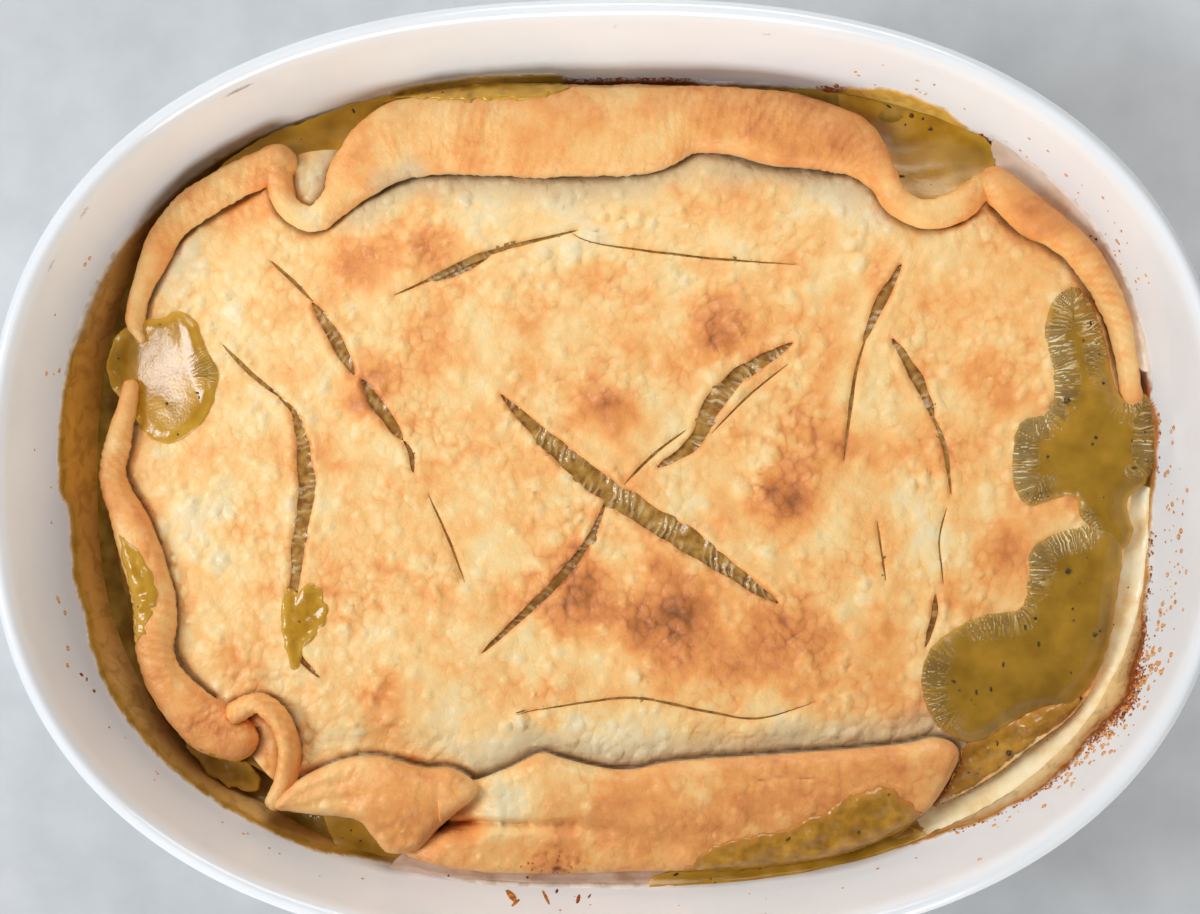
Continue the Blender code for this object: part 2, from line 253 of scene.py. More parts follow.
# Steam slits and cracks: widest opening, then the points of the cut
SLITS = (
    (5.8, ((-25, 20), (-14, 9), (-1, -2), (11, -10), (23, -18), (42, -31))),
    (2.2, ((1, -5), (-4, -16), (-13, -27), (-30, -43))),
    (4.4, ((13, 2), (22, 8), (26, 16), (33, 24), (46, 32))),
    (1.2, ((-94, 33), (-86, 25), (-79, 19.5))),
    (3.8, ((-80, 20), (-75.5, 15), (-73.5, 4), (-73, -4), (-75.5, -20), (-76.5, -34))),
    (1.4, ((-76, -38), (-75, -44), (-70, -49))),
    (1.0, ((-82, 53.5), (-76, 48), (-71, 43))),
    (3.2, ((-71.5, 43), (-67, 36), (-61, 25))),
    (3.2, ((-59, 24), (-54, 16), (-49, 9))),
    (1.4, ((-49, 9), (-47, 5.5), (-46.5, 1))),
    (3.0, ((-42, 48), (-35, 51), (-27, 55))),
    (1.2, ((-51, 44.5), (-44, 47.5), (-30, 54), (-6, 60))),
    (2.4, ((72.5, 51), (66.5, 40), (63, 32))),
    (0.9, ((64, 34), (61, 24), (58, 3))),
    (2.8, ((70, 33), (76, 23), (80, 14))),
    (1.2, ((78, 17), (82, 8), (84, -5))),
    (0.6, ((-8, 59.6), (-1, 56.6), (24, 53), (47, 51))),
    (0.7, ((-22, -58), (-11, -56), (7, -54), (23, -57), (37, -59), (51, -55))),
    (0.6, ((-43, -4), (-38, -15), (-34, -26))),
    (0.6, ((66, -11), (68, -26))),
    (1.6, ((80, -29), (79.5, -35), (77.5, -42))),
    (0.7, ((5, -2), (12, 5), (20, 11))),
    (0.5, ((83, -8), (81, -16), (82, -27))),
    (0.5, ((26, 10), (35, 19), (45, 27))),
)

# Browning of the lid: x, y, radius, amount
BROWNED = (
    (28, 36, 13, 0.25),
    (0, 16, 11, 0.19),
    (16, -36, 22, 0.34),
    (-8, -30, 17, 0.22),
    (42, -42, 20, 0.24),
    (45, -6, 14, 0.22),
    (52, 8, 14, 0.18),
    (-42, 58, 10, 0.20),
    (-62, 50, 10, 0.18),
    (-57, 23, 12, 0.20),
    (-1, 50, 10, 0.16),
    (96, 25, 12, 0.14),
    (96, -20, 14, 0.14),
    (-88, -28, 12, 0.07),
    (4, -68, 30, -0.18),
    (48, -64, 24, -0.13),
    (-30, -66, 20, -0.12),
    (-6, 70, 40, -0.14),
    (62, 64, 22, -0.14),
    (-76, -62, 18, -0.07),
    (-100, -10, 16, -0.10),
    (78, -14, 9, -0.18),
    (62, -50, 26, 0.08),
    (100, 5, 24, 0.05),
    (-40, -40, 16, -0.06),
    (-100, 38, 44, -0.07),
    (-92, -24, 34, -0.05),
    (-108, 50, 12, -0.1),
    (-71, 74, 9, -0.16),
)

# Gravy that boiled over the lid and set: its depth and its outline, clockwise
POOLS = {
    "gravy_pool_left": (
        1.2,
        (
            (-109, 40), (-105, 41.5), (-100.5, 38.5), (-98, 32), (-95, 26), (-96, 19),
            (-100, 12.5), (-107.5, 8.5), (-113.5, 11), (-118, 17), (-122.5, 22), (-124, 29),
            (-120.5, 36.5), (-115, 39),
        ),
    ),
    "gravy_pool_right": (
        2.0,
        (
            (107, 36), (110, 43), (114.5, 45), (118, 42), (121.5, 33), (123.5, 23), (126, 18),
            (131, 19), (133.3, 15.5), (133.6, 4), (131.5, -2), (127, -6.5), (126.8, -10),
            (128, -14), (125.5, -18.5), (121, -16), (115.5, -11), (114, -6), (108, -6.5),
            (103, -8), (99.5, -4), (98.7, 4), (100.5, 12), (106.5, 14.5), (109.2, 20), (108, 29),
        ),
    ),
    "gravy_pool_corner": (
        2.0,
        (
            (108, -15), (114, -13.4), (119, -12.5), (124.6, -14), (125.4, -20), (123.8, -31),
            (122.2, -41), (118.4, -50), (112, -57), (104, -58), (98, -61), (89, -65.3),
            (80.5, -61), (76.5, -52), (78, -43), (85, -37), (93, -34), (100.5, -32.5),
            (102.5, -26), (103, -19),
        ),
    ),
}


# ---------------------------------------------------------------- node helpers


def linear(hex_code):
    """An sRGB hex colour as linear RGBA."""
    channels = [int(hex_code[i : i + 2], 16) / 255 for i in (0, 2, 4)]
    toned = [c / 12.92 if c <= 0.04045 else ((c + 0.055) / 1.055) ** 2.4 for c in channels]
    return (*toned, 1.0)


def feed(node, inputs):
    """Links sockets to a node's inputs, by name or number, or leaves values there."""
    for key, value in inputs.items():
        if isinstance(value, bpy.types.NodeSocket):
            node.id_data.links.new(value, node.inputs[key])
        else:
            node.inputs[key].default_value = value


def add_node(material, kind, inputs=None, **settings):
    """One node with its inputs, as feed takes them, and its settings.

    A setting that is no property of the node is the value of the input of that name.
    """
    node = material.node_tree.nodes.new(kind)
    for name, value in settings.items():
        if hasattr(node, name):
            setattr(node, name, value)
        else:
            feed(node, {name.replace("_", " ").title(): value})
    feed(node, inputs or {})
    return node


def set_ramp(node, *stops):
    """Stops of a colour ramp: position and hex colour or grey value."""
    elements = node.color_ramp.elements
    while len(elements) < len(stops):
        elements.new(0.5)
    for element, (position, colour) in zip(elements, stops):
        element.position = position
        grey = isinstance(colour, float)
        element.color = (colour, colour, colour, 1.0) if grey else linear(colour)
    return node


def new_material(name):
    """A material of this name, and its shader."""
    material = bpy.data.materials.new(name)
    material.use_nodes = True
    return material, material.node_tree.nodes["Principled BSDF"]


# ---------------------------------------------------------------- shape helpers


def clamp(value):
    """The value, kept from 0 to 1."""
    return min(1.0, max(0.0, value))


def ease(share):
    """A share from 0 to 1, slow at both ends."""
    return share * share * (3 - 2 * share)


def falloff(distance, reach):
    """1 at no distance, a third at one reach and next to nothing at two."""
    return math.exp(-((distance / reach) ** 2))


def oval(turn, half_length, half_width, power):
    """The place on an oval's edge in one direction."""
    across, along = math.cos(turn), math.sin(turn)
    reach = (abs(across) ** power + abs(along) ** power) ** (-1.0 / power)
    return Vector((half_length * across * reach, half_width * along * reach))


def oval_share(x, y, half_length, half_width, power):
    """How far out a place lies in an oval: 0 in its middle and 1 at its edge."""
    return (abs(x / half_length) ** power + abs(y / half_width) ** power) ** (1 / power)


def inset_spot(turn, inset, height, power):
    """A place inside the dish's widest outline by this inset."""
    flat = oval(turn, HALF_LENGTH - inset, HALF_WIDTH - inset, power)
    return Vector((flat.x, flat.y, height))


def wall_at(height):
    """Inset and oval power of the inner wall at this height."""
    for upper, lower in zip(INNER_WALL, INNER_WALL[1:]):
        if height >= lower[1]:
            share = (height - lower[1]) / (upper[1] - lower[1])
            return [b + (a - b) * share for a, b in ((upper[0], lower[0]), (upper[2], lower[2]))]
    return [INNER_WALL[-1][0], WALL_POWER]


def on_wall(turn, height, proud=0.0):
    """A place on the inner wall, this far proud of it."""
    inset, power = wall_at(height)
    return inset_spot(turn, inset + proud, height, power)


def wall_gap(x, y, height):
    """How far inside the inner wall a place at this height is, about."""
    inset, power = wall_at(height)
    share = oval_share(x, y, HALF_LENGTH - inset, HALF_WIDTH - inset, power)
    return max(0.0, 1 - share) * math.hypot(x, y)


def between(table, turn):
    """A row of a table over degrees, eased between its neighbours."""
    degrees = math.degrees(turn) % 360
    for start, end in zip(table, table[1:]):
        if start[0] <= degrees <= end[0]:
            share = ease((degrees - start[0]) / (end[0] - start[0]))
            pairs = zip(start[1:], end[1:])
            return [a + (b - a) * share for a, b in pairs if not isinstance(a, str)]
    return list(table[-1][1:])


def course_of(rows, step=1.0, closed=False, cuts=None):
    """Rows along a Catmull-Rom curve through the given rows, about one step apart.

    With cuts, each span has that many rows, however long it is.
    """
    count = len(rows)
    course = []
    for i in range(count if closed else count - 1):
        if closed:
            around = [rows[(i + k) % count] for k in (-1, 0, 1, 2)]
        else:
            around = [rows[min(max(i + k, 0), count - 1)] for k in (-1, 0, 1, 2)]
        before, start, end, after = (Vector(row) for row in around)
        parts = cuts or max(1, round((end.xy - start.xy).length / step))
        for j in range(parts):
            t = j / parts
            course.append(
                0.5
                * (
                    2 * start
                    + (end - before) * t
                    + (2 * before - 5 * start + 4 * end - after) * t**2
                    + (3 * start - before - 3 * end + after) * t**3
                )
            )
    if not closed:
        course.append(Vector(rows[-1]))
    return course


def straight_rows(rows, step):
    """The same rows with more between them, no further apart than a step."""
    filled = []
    for start, end in zip(rows, rows[1:]):
        start, end = Vector(start), Vector(end)
        parts = math.ceil((end.xy - start.xy).length / step)
        filled += [start.lerp(end, j / parts) for j in range(parts)]
    return [*filled, Vector(rows[-1])]


def float_layers(bm, *names):
    """One attribute on the vertices for each name."""
    return [bm.verts.layers.float.new(name) for name in names]


def tube_of(bm, rings, joined=False):
    """Vertices of a tube through rings of places in millimetres, ring after ring.

    It is a grid whose rows become the rings and whose first column comes again as the last.
    close_up then welds that seam, and so it does for a tube joined end to start.
    """
    rows = [*rings, rings[0]] if joined else rings
    grid = bmesh.ops.create_grid(
        bm, x_segments=len(rows[0]), y_segments=len(rows) - 1, size=1
    )["verts"]
    for vert, spot in zip(grid, (spot for row in rows for spot in (*row, row[0]))):
        vert.co = spot * MM
    return grid


def close_up(bm):
    """Welds the tubes' seams and caps their ends."""
    bmesh.ops.remove_doubles(bm, verts=bm.verts[:], dist=1e-7)
    ends = [edge for edge in bm.edges if edge.is_boundary]
    bmesh.ops.holes_fill(bm, edges=ends, sides=0)


def piece(name, bm, material, slot, *stands_for, sharp=50):
    """A finished piece that rides on the pie's one body."""
    bmesh.ops.recalc_face_normals(bm, faces=bm.faces[:])
    mesh = bpy.data.meshes.new(name)
    bm.to_mesh(mesh)
    bm.free()
    mesh.shade_smooth()
    mesh.set_sharp_from_angle(angle=math.radians(sharp))
    mesh.materials.append(material)
    thing = bpy.data.objects.new(name, mesh)
    bpy.context.scene.collection.objects.link(thing)
    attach(thing, "root")
    if stands_for:
        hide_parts(*stands_for)
    return thing


# ---------------------------------------------------------------- the lid's height and bake


# Along its cuts the lid curls up to a lip, and the edge itself is worn round
CURLED_OPENING = 3.0  # a cut this wide is fully curled
LIP_RISE = 0.5
LIP_PLACE = 1.4
LIP_WIDTH = 1.1
WORN_DEPTH = 0.45
WORN_WIDTH = 0.5

# Beside a fold it sinks into a crack, which is painted dark brown: painted shade, together with juices
# dried brown there
ROLL_CRACK_DEPTH = 0.7
FLAP_CRACK_DEPTH = 1.7
CRACK_WIDTH = 1.0
CRACK_SHADE_STRENGTH = 0.8
CRACK_SHADE_WIDTH = 0.75

LID_BAKE = 0.33
UNDERSIDE_BAKE = 0.3


def lid_rise(x, y):
    """How far the lid is domed at a place."""
    share = oval_share(x, y, LID_HALF_LENGTH, LID_HALF_WIDTH, LID_POWER)
    return LID_RISE * max(0.0, 1.0 - share**2)


def bumps(table, x, y):
    """What a table of round spots adds up to at a place."""
    total = 0.0
    for middle_x, middle_y, radius, amount in table:
        near = 1.0 - ((x - middle_x) ** 2 + (y - middle_y) ** 2) / radius**2
        if near > 0:
            total += amount * near * near
    return total


def smooth_lid(x, y):
    """The lid's top without its fine relief."""
    return LID_BED + lid_rise(x, y) + LID_THICKNESS + bumps(SWELLINGS, x, y)


def blister(x, y, spacing, share, seed):
    """Steam blisters: low domes of uneven size in this share of the cells."""
    distances, points = noise.voronoi(Vector((x / spacing, y / spacing, seed)))
    chance = noise.cell(points[0] * 31.7)
    size = 0.34 + 0.22 * noise.cell(points[0] * 17.3 + Vector((5, 9, 2)))
    if chance > share:
        return 0.0
    return max(0.0, 1.0 - (distances[0] / size) ** 2)


def domes(x, y):
    """Steam blisters of two sizes, rougher in some places than in others."""
    rough = 0.6 + 0.5 * noise.noise(Vector((x / 23 + 4, y / 23 + 7, 1)))
    return rough * (1.3 * blister(x, y, 5.8, 0.65, 3) + 0.95 * blister(x, y, 3.4, 0.75, 8))


def lid_relief(x, y):
    """Undulation and blisters of the baked surface."""
    place = Vector((x, y, 0))
    wave = 0.7 * noise.fractal(place / 15, 0.8, 2.1, 3) + 0.2 * noise.noise(place / 3.1)
    return wave + domes(x, y)


def lid_bake(x, y):
    """How brown the lid is, from 0, pale, to 1, nearly burnt."""
    place = Vector((x, y, 0))
    blotch = 0.17 * noise.noise(place / 12) + 0.09 * noise.noise(place / 5 + Vector((7, 1, 3)))
    return LID_BAKE + bumps(BROWNED, x, y) + blotch - 0.1 * domes(x, y)


def lid_height(x, y, cut_distance, opening):
    """The lid's top, curled up along its cuts and worn round at their edges."""
    curl = min(1.0, opening / CURLED_OPENING)
    lip = LIP_RISE * curl * falloff(cut_distance - LIP_PLACE, LIP_WIDTH)
    worn = WORN_DEPTH * falloff(cut_distance, WORN_WIDTH)
    return smooth_lid(x, y) + lid_relief(x, y) + lip - worn


# ---------------------------------------------------------------- slabs cut from outlines


def guide(name, bm):
    """An object that only shapes another one."""
    mesh = bpy.data.meshes.new(name)
    bmesh.ops.recalc_face_normals(bm, faces=bm.faces[:])
    bm.to_mesh(mesh)
    bm.free()
    thing = bpy.data.objects.new(name, mesh)
    bpy.context.scene.collection.objects.link(thing)
    return thing


def raised_verts(geometry):
    """The vertices among what an extrusion made."""
    return [item for item in geometry if isinstance(item, bmesh.types.BMVert)]


def prism(name, outline, low, high):
    """An upright block over an outline."""
    bm = bmesh.new()
    face = bm.faces.new([bm.verts.new((spot.x * MM, spot.y * MM, low * MM)) for spot in outline])
    block = bmesh.ops.extrude_face_region(bm, geom=[face])["geom"]
    bmesh.ops.translate(bm, verts=raised_verts(block), vec=(0, 0, (high - low) * MM))
    return guide(name, bm)


SLAB_HALF = 0.5 * MM  # the vertices of a new slab's top are higher than this


def flat_slab(outline, cell, cuts=()):
    """A slab 1 mm thick over an outline, with cuts through it.

    Its top is a fine grid, which later takes the relief, and its underside is one face.
    """
    lows, highs = ([pick(axis) for axis in zip(*outline)] for pick in (min, max))
    spans = [high - low + 2 * cell for low, high in zip(lows, highs)]
    middle = [(low + high) / 2 for low, high in zip(lows, highs)]
    bm = bmesh.new()
    bmesh.ops.create_grid(
        bm,
        x_segments=math.ceil(spans[0] / cell),
        y_segments=math.ceil(spans[1] / cell),
        size=0.5,
        matrix=Matrix.LocRotScale(Vector((*middle, 1)) * MM, None, Vector((*spans, 1)) * MM),
    )
    rim = [edge for edge in bm.edges if edge.is_boundary]
    skirt = bmesh.ops.extrude_edge_only(bm, edges=rim)["geom"]
    bmesh.ops.translate(bm, verts=raised_verts(skirt), vec=(0, 0, -MM))
    hem = [item for item in skirt if isinstance(item, bmesh.types.BMEdge) and item.is_boundary]
    bmesh.ops.contextual_create(bm, geom=hem)
    slab = guide("slab", bm)
    border = prism("border", outline, -1, 2)
    blades = bpy.data.collections.new("blades")
    for i, cut in enumerate(cuts):
        blades.objects.link(prism(f"blade_{i}", cut, -1, 2))
    steps = [("INTERSECT", "OBJECT", border), ("DIFFERENCE", "COLLECTION", blades)]
    for operation, kind, tool in steps[: 2 if cuts else 1]:
        step = slab.modifiers.new(operation.lower(), "BOOLEAN")
        step.operation = operation
        step.solver = "MANIFOLD"
        step.operand_type = kind
        setattr(step, kind.lower(), tool)
    shaped = slab.evaluated_get(bpy.context.evaluated_depsgraph_get())
    bm = bmesh.new()
    bm.from_mesh(shaped.to_mesh())
    for thing in (slab, border, *blades.objects):
        bpy.data.objects.remove(thing)
    bpy.data.collections.remove(blades)
    return bm


def tree_of(spots):
    """A search tree over flat places."""
    tree = kdtree.KDTree(len(spots))
    for i, spot in enumerate(spots):
        tree.insert((spot.x, spot.y, 0), i)
    tree.balance()
    return tree


def covers_of(things):
    """Search trees over the faces of pieces."""
    return [BVHTree.FromObject(thing, bpy.context.evaluated_depsgraph_get()) for thing in things]


def heights_at(covers, x, y):
    """The height at a place of each cover that lies there."""
    above, down = Vector((x * MM, y * MM, 0.1)), Vector((0, 0, -1))
    hits = [cover.ray_cast(above, down)[0] for cover in covers]
    return [hit.z / MM for hit in hits if hit]


def cut_stations(opening, points, step):
    """Places along a cut, each with the direction across it and half its width there."""
    course = course_of(points, step)
    last = len(course) - 1
    for i in range(1, last):
        forward = (course[i + 1] - course[i - 1]).normalized()
        half = opening / 2 * math.sin(math.pi * i / last) ** 0.7
        yield course[i], Vector((-forward.y, forward.x)), half


def cut_outline(opening, points):
    """Both sides of a cut, uneven like torn dough and pointed at its ends."""
    sides = ([], [])
    for spot, sideways, half in cut_stations(opening, points, 0.9):
        for side, way in zip(sides, (1, -1)):
            tear = 1 + 0.35 * noise.noise(Vector((*spot / 5.0, way * 4)))
            side.append(spot + sideways * way * half * tear)
    return [Vector(points[0]), *sides[1], Vector(points[-1]), *reversed(sides[0])]


def make_lid(material):
    """The flat of the crust, blistered, browned and opened by its steam slits."""
    edge = course_of(LID_EDGE, 3.0, closed=True)
    cuts = [cut_outline(*slit) for slit in SLITS]
    openings = [opening for (opening, _), cut in zip(SLITS, cuts) for _ in cut]
    near_cut = tree_of([spot for cut in cuts for spot in cut])
    flaps = [row for row in course_of(FOLDS["top_flap"], 1.0) if row[2] > 12]
    flaps += [Vector((*spot, 0)) for spot in course_of(FLAPS["bottom_flap"][2], 0.3)]
    near_flap = tree_of(flaps)
    folds = [row for rows in FOLDS.values() for row in course_of(rows, 1.0)]
    folds += [Vector((*spot, 0)) for flap in FLAPS.values() for spot in course_of(flap[2], 0.3)]
    near_fold = tree_of(folds)
    bm = flat_slab(edge, LID_CELL, cuts)
    bake, damp_and_shade, pebbled, crack_shade = float_layers(bm, "bake", "damp_and_shade", "pebbled", "crack_shade")
    for vert in bm.verts:
        x, y = vert.co.xy / MM
        if vert.co.z < SLAB_HALF:
            vert.co.z = (LID_BED + lid_rise(x, y)) * MM
            vert[bake] = UNDERSIDE_BAKE
            continue
        _, cut_index, cut_distance = near_cut.find((x, y, 0))
        opening = openings[cut_index]
        _, fold_index, fold_distance = near_fold.find((x, y, 0))
        width = folds[fold_index][2]
        beside = max(0.0, fold_distance - width / 2)
        sunk = (ROLL_CRACK_DEPTH if width else FLAP_CRACK_DEPTH) * falloff(beside, CRACK_WIDTH)
        vert.co.z = (lid_height(x, y, cut_distance, opening) - sunk) * MM
        seared = 0.12 * falloff(cut_distance, 0.6) * min(1.0, opening / 2)
        # Painted shade, dark brown, in the crack beside a fold
        vert[crack_shade] = CRACK_SHADE_STRENGTH * falloff(beside, CRACK_SHADE_WIDTH)
        vert[bake] = lid_bake(x, y) + seared
        uneven = 0.6 + noise.noise(Vector((x / 18, y / 18, 6))) + 1.5 * bumps(BROWNED, x, y)
        vert[pebbled] = max(0.15, uneven)
        _, flap_index, flap_distance = near_flap.find((x, y, 0))
        # Grey of unbaked dough beside a flap's lip, partly painted shade
        vert[damp_and_shade] = damp_and_shade_share(x, y, flap_distance - flaps[flap_index][2] / 2)
    return piece("crust_lid", bm, material, "baked_crust")


def damp_and_shade_share(x, y, beside):
    """How unbaked the lid stayed under the lip of a flap, and greyed there by painted shade."""
    reach = 9.0 + 5.0 * noise.noise(Vector((x / 13, y / 13, 5)))
    return ease(clamp(1.0 - beside / reach))


# ---------------------------------------------------------------- the folds

# Sections of a fold, as shares of half its width (outwards) and of its height: a wide flap,
# whose inner lip hangs over the lid, and a narrow roll
FLAP_SECTION = (
    (0.93, 0.0), (1.0, 0.3), (0.9, 0.68), (0.62, 0.91), (0.2, 1.0), (-0.3, 0.99), (-0.74, 0.94),
    (-0.95, 0.74), (-1.0, 0.52), (-0.97, 0.34), (-0.84, 0.24), (-0.72, 0.14), (-0.66, 0.0),
)
ROLL_SECTION = (
    (0.6, 0.0), (0.94, 0.3), (0.97, 0.62), (0.7, 0.89), (0.27, 1.0), (-0.2, 1.0), (-0.63, 0.91),
    (-0.92, 0.7), (-1.0, 0.5), (-0.93, 0.33), (-0.75, 0.2), (-0.6, 0.1), (-0.5, 0.0),
)
FOLD_STEP = 0.75
FOLD_LIFT = 0.5
END_ROUNDING = 0.5  # share of the width by which a fold's end is rounded
END_REACHES = (1.0, 0.97, 0.88, 0.72, 0.5, 0.25)  # of the end's sections, from its tip
TIP_WIDTH = 0.08  # share of the width that is left at the tip
TIP_LEVEL = 0.4  # share of the height at which the tip lies
LIP_SHARE = 0.66  # where the inner lip lies on the way round a section
LIP_SPAN = 0.13  # how far the lip reaches to both sides, on that way
WRINKLE_STEP = 2.4  # along a fold, between the wrinkles of its strained skin
WRINKLE_HEIGHT = 0.22
FLAP_EDGE_RADIUS = 3.4
FLAP_SPINE_PULL = 0.3  # how far a flap's underside draws in to the line it stands on
FOLD_BAKE = 0.385

# Browning of the folds: x, y, radius, amount
FOLDS_BROWNED = (
    (30, 88, 20, 0.1),
    (52, 84, 20, 0.14),
    (64, 78, 12, 0.08),
    (-44, 84, 20, -0.06),
    (-58, 76, 9, 0.06),
    (10, 75, 12, -0.1),
    (-80, 74, 7, 0.12),
    (-97, 68, 14, -0.04),
    (-72, 64, 8, -0.2),
    (78, 64, 9, -0.12),
    (103, 62, 12, 0.15),
    (123, 28, 20, -0.02),
    (-122, -4, 14, 0.1),
    (-116, -24, 10, 0.03),
    (-103, -54, 18, 0.1),
    (-90, -64, 8, 0.1),
    (-45, -78, 22, 0.1),
    (-32, -76, 8, 0.06),
    (-20, 90, 40, 0.02),
    (112, 58, 16, 0.05),
    (-25, -78, 13, -0.28),
    (4, -83, 20, 0.12),
    (35, -84, 26, 0.14),
    (60, -78, 24, 0.12),
    (82, -68, 14, 0.08),
    (-12, -94, 11, 0.17),
    (-40, -92, 14, 0.06),
    (70, -84, 16, 0.1),
    (-6, -69, 12, -0.12),
)

# Where the dough's pale underside turns up: x, y, radius, amount
UNDERSIDES = (
    (-53, 71.5, 6, 0.7),
    (-46.5, 74, 6, 0.9),
)

# Where the flaps scorched in grains: x, y, radius, amount
SCORCHED = (
    (-12, -95, 9, 1.0),
    (-4, -96, 6, 0.6),
)


def fold_section(width, height):
    """The outline of a fold's section: a roll, or a flap where it is wide for its height."""
    flat = clamp((width / height - 1.2) / 0.8)
    pairs = zip(ROLL_SECTION, FLAP_SECTION)
    corners = [Vector(roll).lerp(Vector(flap), flat) for roll, flap in pairs]
    return course_of(corners, closed=True, cuts=3)


def fold_rings(rows, number):
    """Sections along a fold, its ends rounded off."""
    course = course_of(rows, FOLD_STEP)
    stations = [(0, -reach) for reach in END_REACHES]
    stations += [(spot, 0.0) for spot in range(len(course))]
    stations += [(len(course) - 1, reach) for reach in reversed(END_REACHES)]
    rings = []
    for i, (spot, reach) in enumerate(stations):
        x, y, width, height = course[spot]
        ahead = course[min(spot + 1, len(course) - 1)]
        forward = (ahead - course[max(spot - 1, 0)]).xy.normalized()
        sideways = Vector((-forward.y, forward.x))
        taper = math.sqrt(max(0.01, 1 - reach * reach))
        centre = Vector((x, y)) + forward * width * END_ROUNDING * reach
        wobble = 1 + 0.09 * noise.noise(Vector((i * FOLD_STEP / 13, number * 7.0, 2)))
        spread = wobble * (TIP_WIDTH + (1 - TIP_WIDTH) * taper)
        base = LID_BED + lid_rise(*centre) + FOLD_LIFT
        ring = []
        for corner in fold_section(width, height):
            flat = centre + sideways * corner.x * width / 2 * spread
            level = (corner.y - TIP_LEVEL) * taper + TIP_LEVEL
            ring.append(Vector((*flat, base + height * level)))
        rings.append(ring)
    return rings, course


def make_folds(material):
    """The overhanging dough, folded back and rolled along the lid's edge."""
    bm = bmesh.new()
    along, around, bake, damp_and_shade, pebbled = float_layers(
        bm, "along", "around", "bake", "damp_and_shade", "pebbled"
    )
    for number, rows in enumerate(FOLDS.values()):
        rings, course = fold_rings(rows, number)
        sides = len(rings[0])
        for i, vert in enumerate(tube_of(bm, rings)):
            row, column = divmod(i, sides + 1)
            width = course[min(max(row - len(END_REACHES), 0), len(course) - 1)][2]
            share = (column % sides) / sides
            vert[along] = row * FOLD_STEP
            vert[around] = share
            # The lip stayed damp, greyed partly by painted shade, under wide flaps, not where one is 7
            # mm wide
            lip = max(0.0, 1 - abs(share - LIP_SHARE) / LIP_SPAN)
            vert[damp_and_shade] = 0.8 * lip * clamp((width - 7) / 12)
    close_up(bm)
    bmesh.ops.recalc_face_normals(bm, faces=bm.faces[:])
    bm.normal_update()
    for vert in bm.verts:
        place = vert.co / MM
        bulge = dough_relief(place)
        strain = max(0.0, noise.noise(place / 12 + Vector((3, 1, 8))) + 0.3)
        twist = math.sin(math.tau * (vert[along] / WRINKLE_STEP + 6 * vert[around]) + 4 * bulge)
        vert.co += vert.normal * (bulge + WRINKLE_HEIGHT * strain * twist) * MM
        vert[bake] = fold_bake(place) + 0.08 * bulge + 0.06 * twist * strain
        vert[damp_and_shade] = min(1.0, vert[damp_and_shade] + bumps(UNDERSIDES, place.x, place.y))
        vert[pebbled] = fold_pebbles(place)
    return piece("crust_folds", bm, material, "baked_crust", sharp=70)


def make_flaps(material):
    """The wide flaps, whose edges overhang the lid."""
    flaps = []
    creases = [(depth, width, tree_of(course_of(points, 0.5))) for depth, width, points in CREASES]
    for name, (height, spine, outline) in FLAPS.items():
        edge = course_of(outline, 0.6, closed=True)
        near_edge = tree_of(edge)
        line = course_of(spine, 0.5)
        near_line = tree_of(line)
        bm = flat_slab(edge, RUN_CELL)
        bake, damp_and_shade, pebbled = float_layers(bm, "bake", "damp_and_shade", "pebbled")
        for vert in bm.verts:
            spot = vert.co.xy / MM
            if vert.co.z < SLAB_HALF:
                spot = spot.lerp(line[near_line.find((*spot, 0))[1]], FLAP_SPINE_PULL)
                vert.co = Vector((*spot, LID_BED + lid_rise(*spot) + FOLD_LIFT)) * MM
                vert[bake], vert[damp_and_shade] = 0.8, 0.3
                continue
            distance, _ = shore_of(edge, near_edge, spot)
            place = Vector((*spot, height))
            rise = height * (0.56 + 0.44 * rounded_shore(distance, FLAP_EDGE_RADIUS))
            # The corner flap's free end lies smooth over the deep creases of the other
            if name == "bottom_flap" or spot.x < -40:
                rise += bumps(FLAP_SWELLINGS, *spot)
            rise += 0.8 * dough_relief(place) + 0.45 * domes(*spot)
            for depth, width, near_crease in creases:
                if name == "bottom_flap" or depth < 1:
                    rise -= depth * falloff(near_crease.find((*spot, 0))[2], width)
            vert.co.z = (LID_BED + lid_rise(*spot) + FOLD_LIFT + rise) * MM
            vert[bake] = fold_bake(place) - 0.08 * domes(*spot)
            vert[pebbled] = fold_pebbles(place)
            vert[damp_and_shade] = 0.35 * math.exp(-distance / 0.7)
        flaps.append(piece(name, bm, material, "baked_crust", sharp=60))
    return flaps


def dough_relief(place):
    """Swellings and small blisters of the folded dough."""
    swelling = 0.55 * noise.noise(place / 10) + 0.3 * noise.noise(place / 3.8)
    return swelling + 0.16 * noise.noise(place / 1.7)


def fold_pebbles(place):
    """How pebbled the folded dough is."""
    return max(0.1, 0.35 + 0.7 * noise.noise(place / 11 + Vector((2, 5, 9))))


def fold_bake(place):
    """How brown the folded dough is."""
    mottle = 0.1 * noise.noise(place / 9) + 0.05 * noise.noise(place / 3.8)
    grains = max(0.0, noise.noise(place / 1.3)) * bumps(SCORCHED, place.x, place.y)
    return FOLD_BAKE + bumps(FOLDS_BROWNED, place.x, place.y) + mottle + 0.5 * grains


# ---------------------------------------------------------------- the dish

DISH_SIDES = 660
MARKED_HEIGHT = 66.0  # the rim is marked above this
THIN_GLAZE_HEIGHT = 71.2  # of the line where the glaze ran thin, along the rim's inner edge
THIN_GLAZE_DEGREES = (20, 62)

# Grey metal marks on the rim: degrees, length in degrees, height, strength
SCUFFS = (
    (125.5, 2.0, 71.6, 1.0),
    (146, 1.2, 71.8, 1.0),
    (153, 1.4, 71.8, 0.9),
    (91.5, 0.5, 69.5, 0.8),
    (88.4, 0.7, 69.5, 0.9),
    (73.6, 0.8, 69.0, 0.7),
    (68, 0.4, 68.0, 0.6),
)


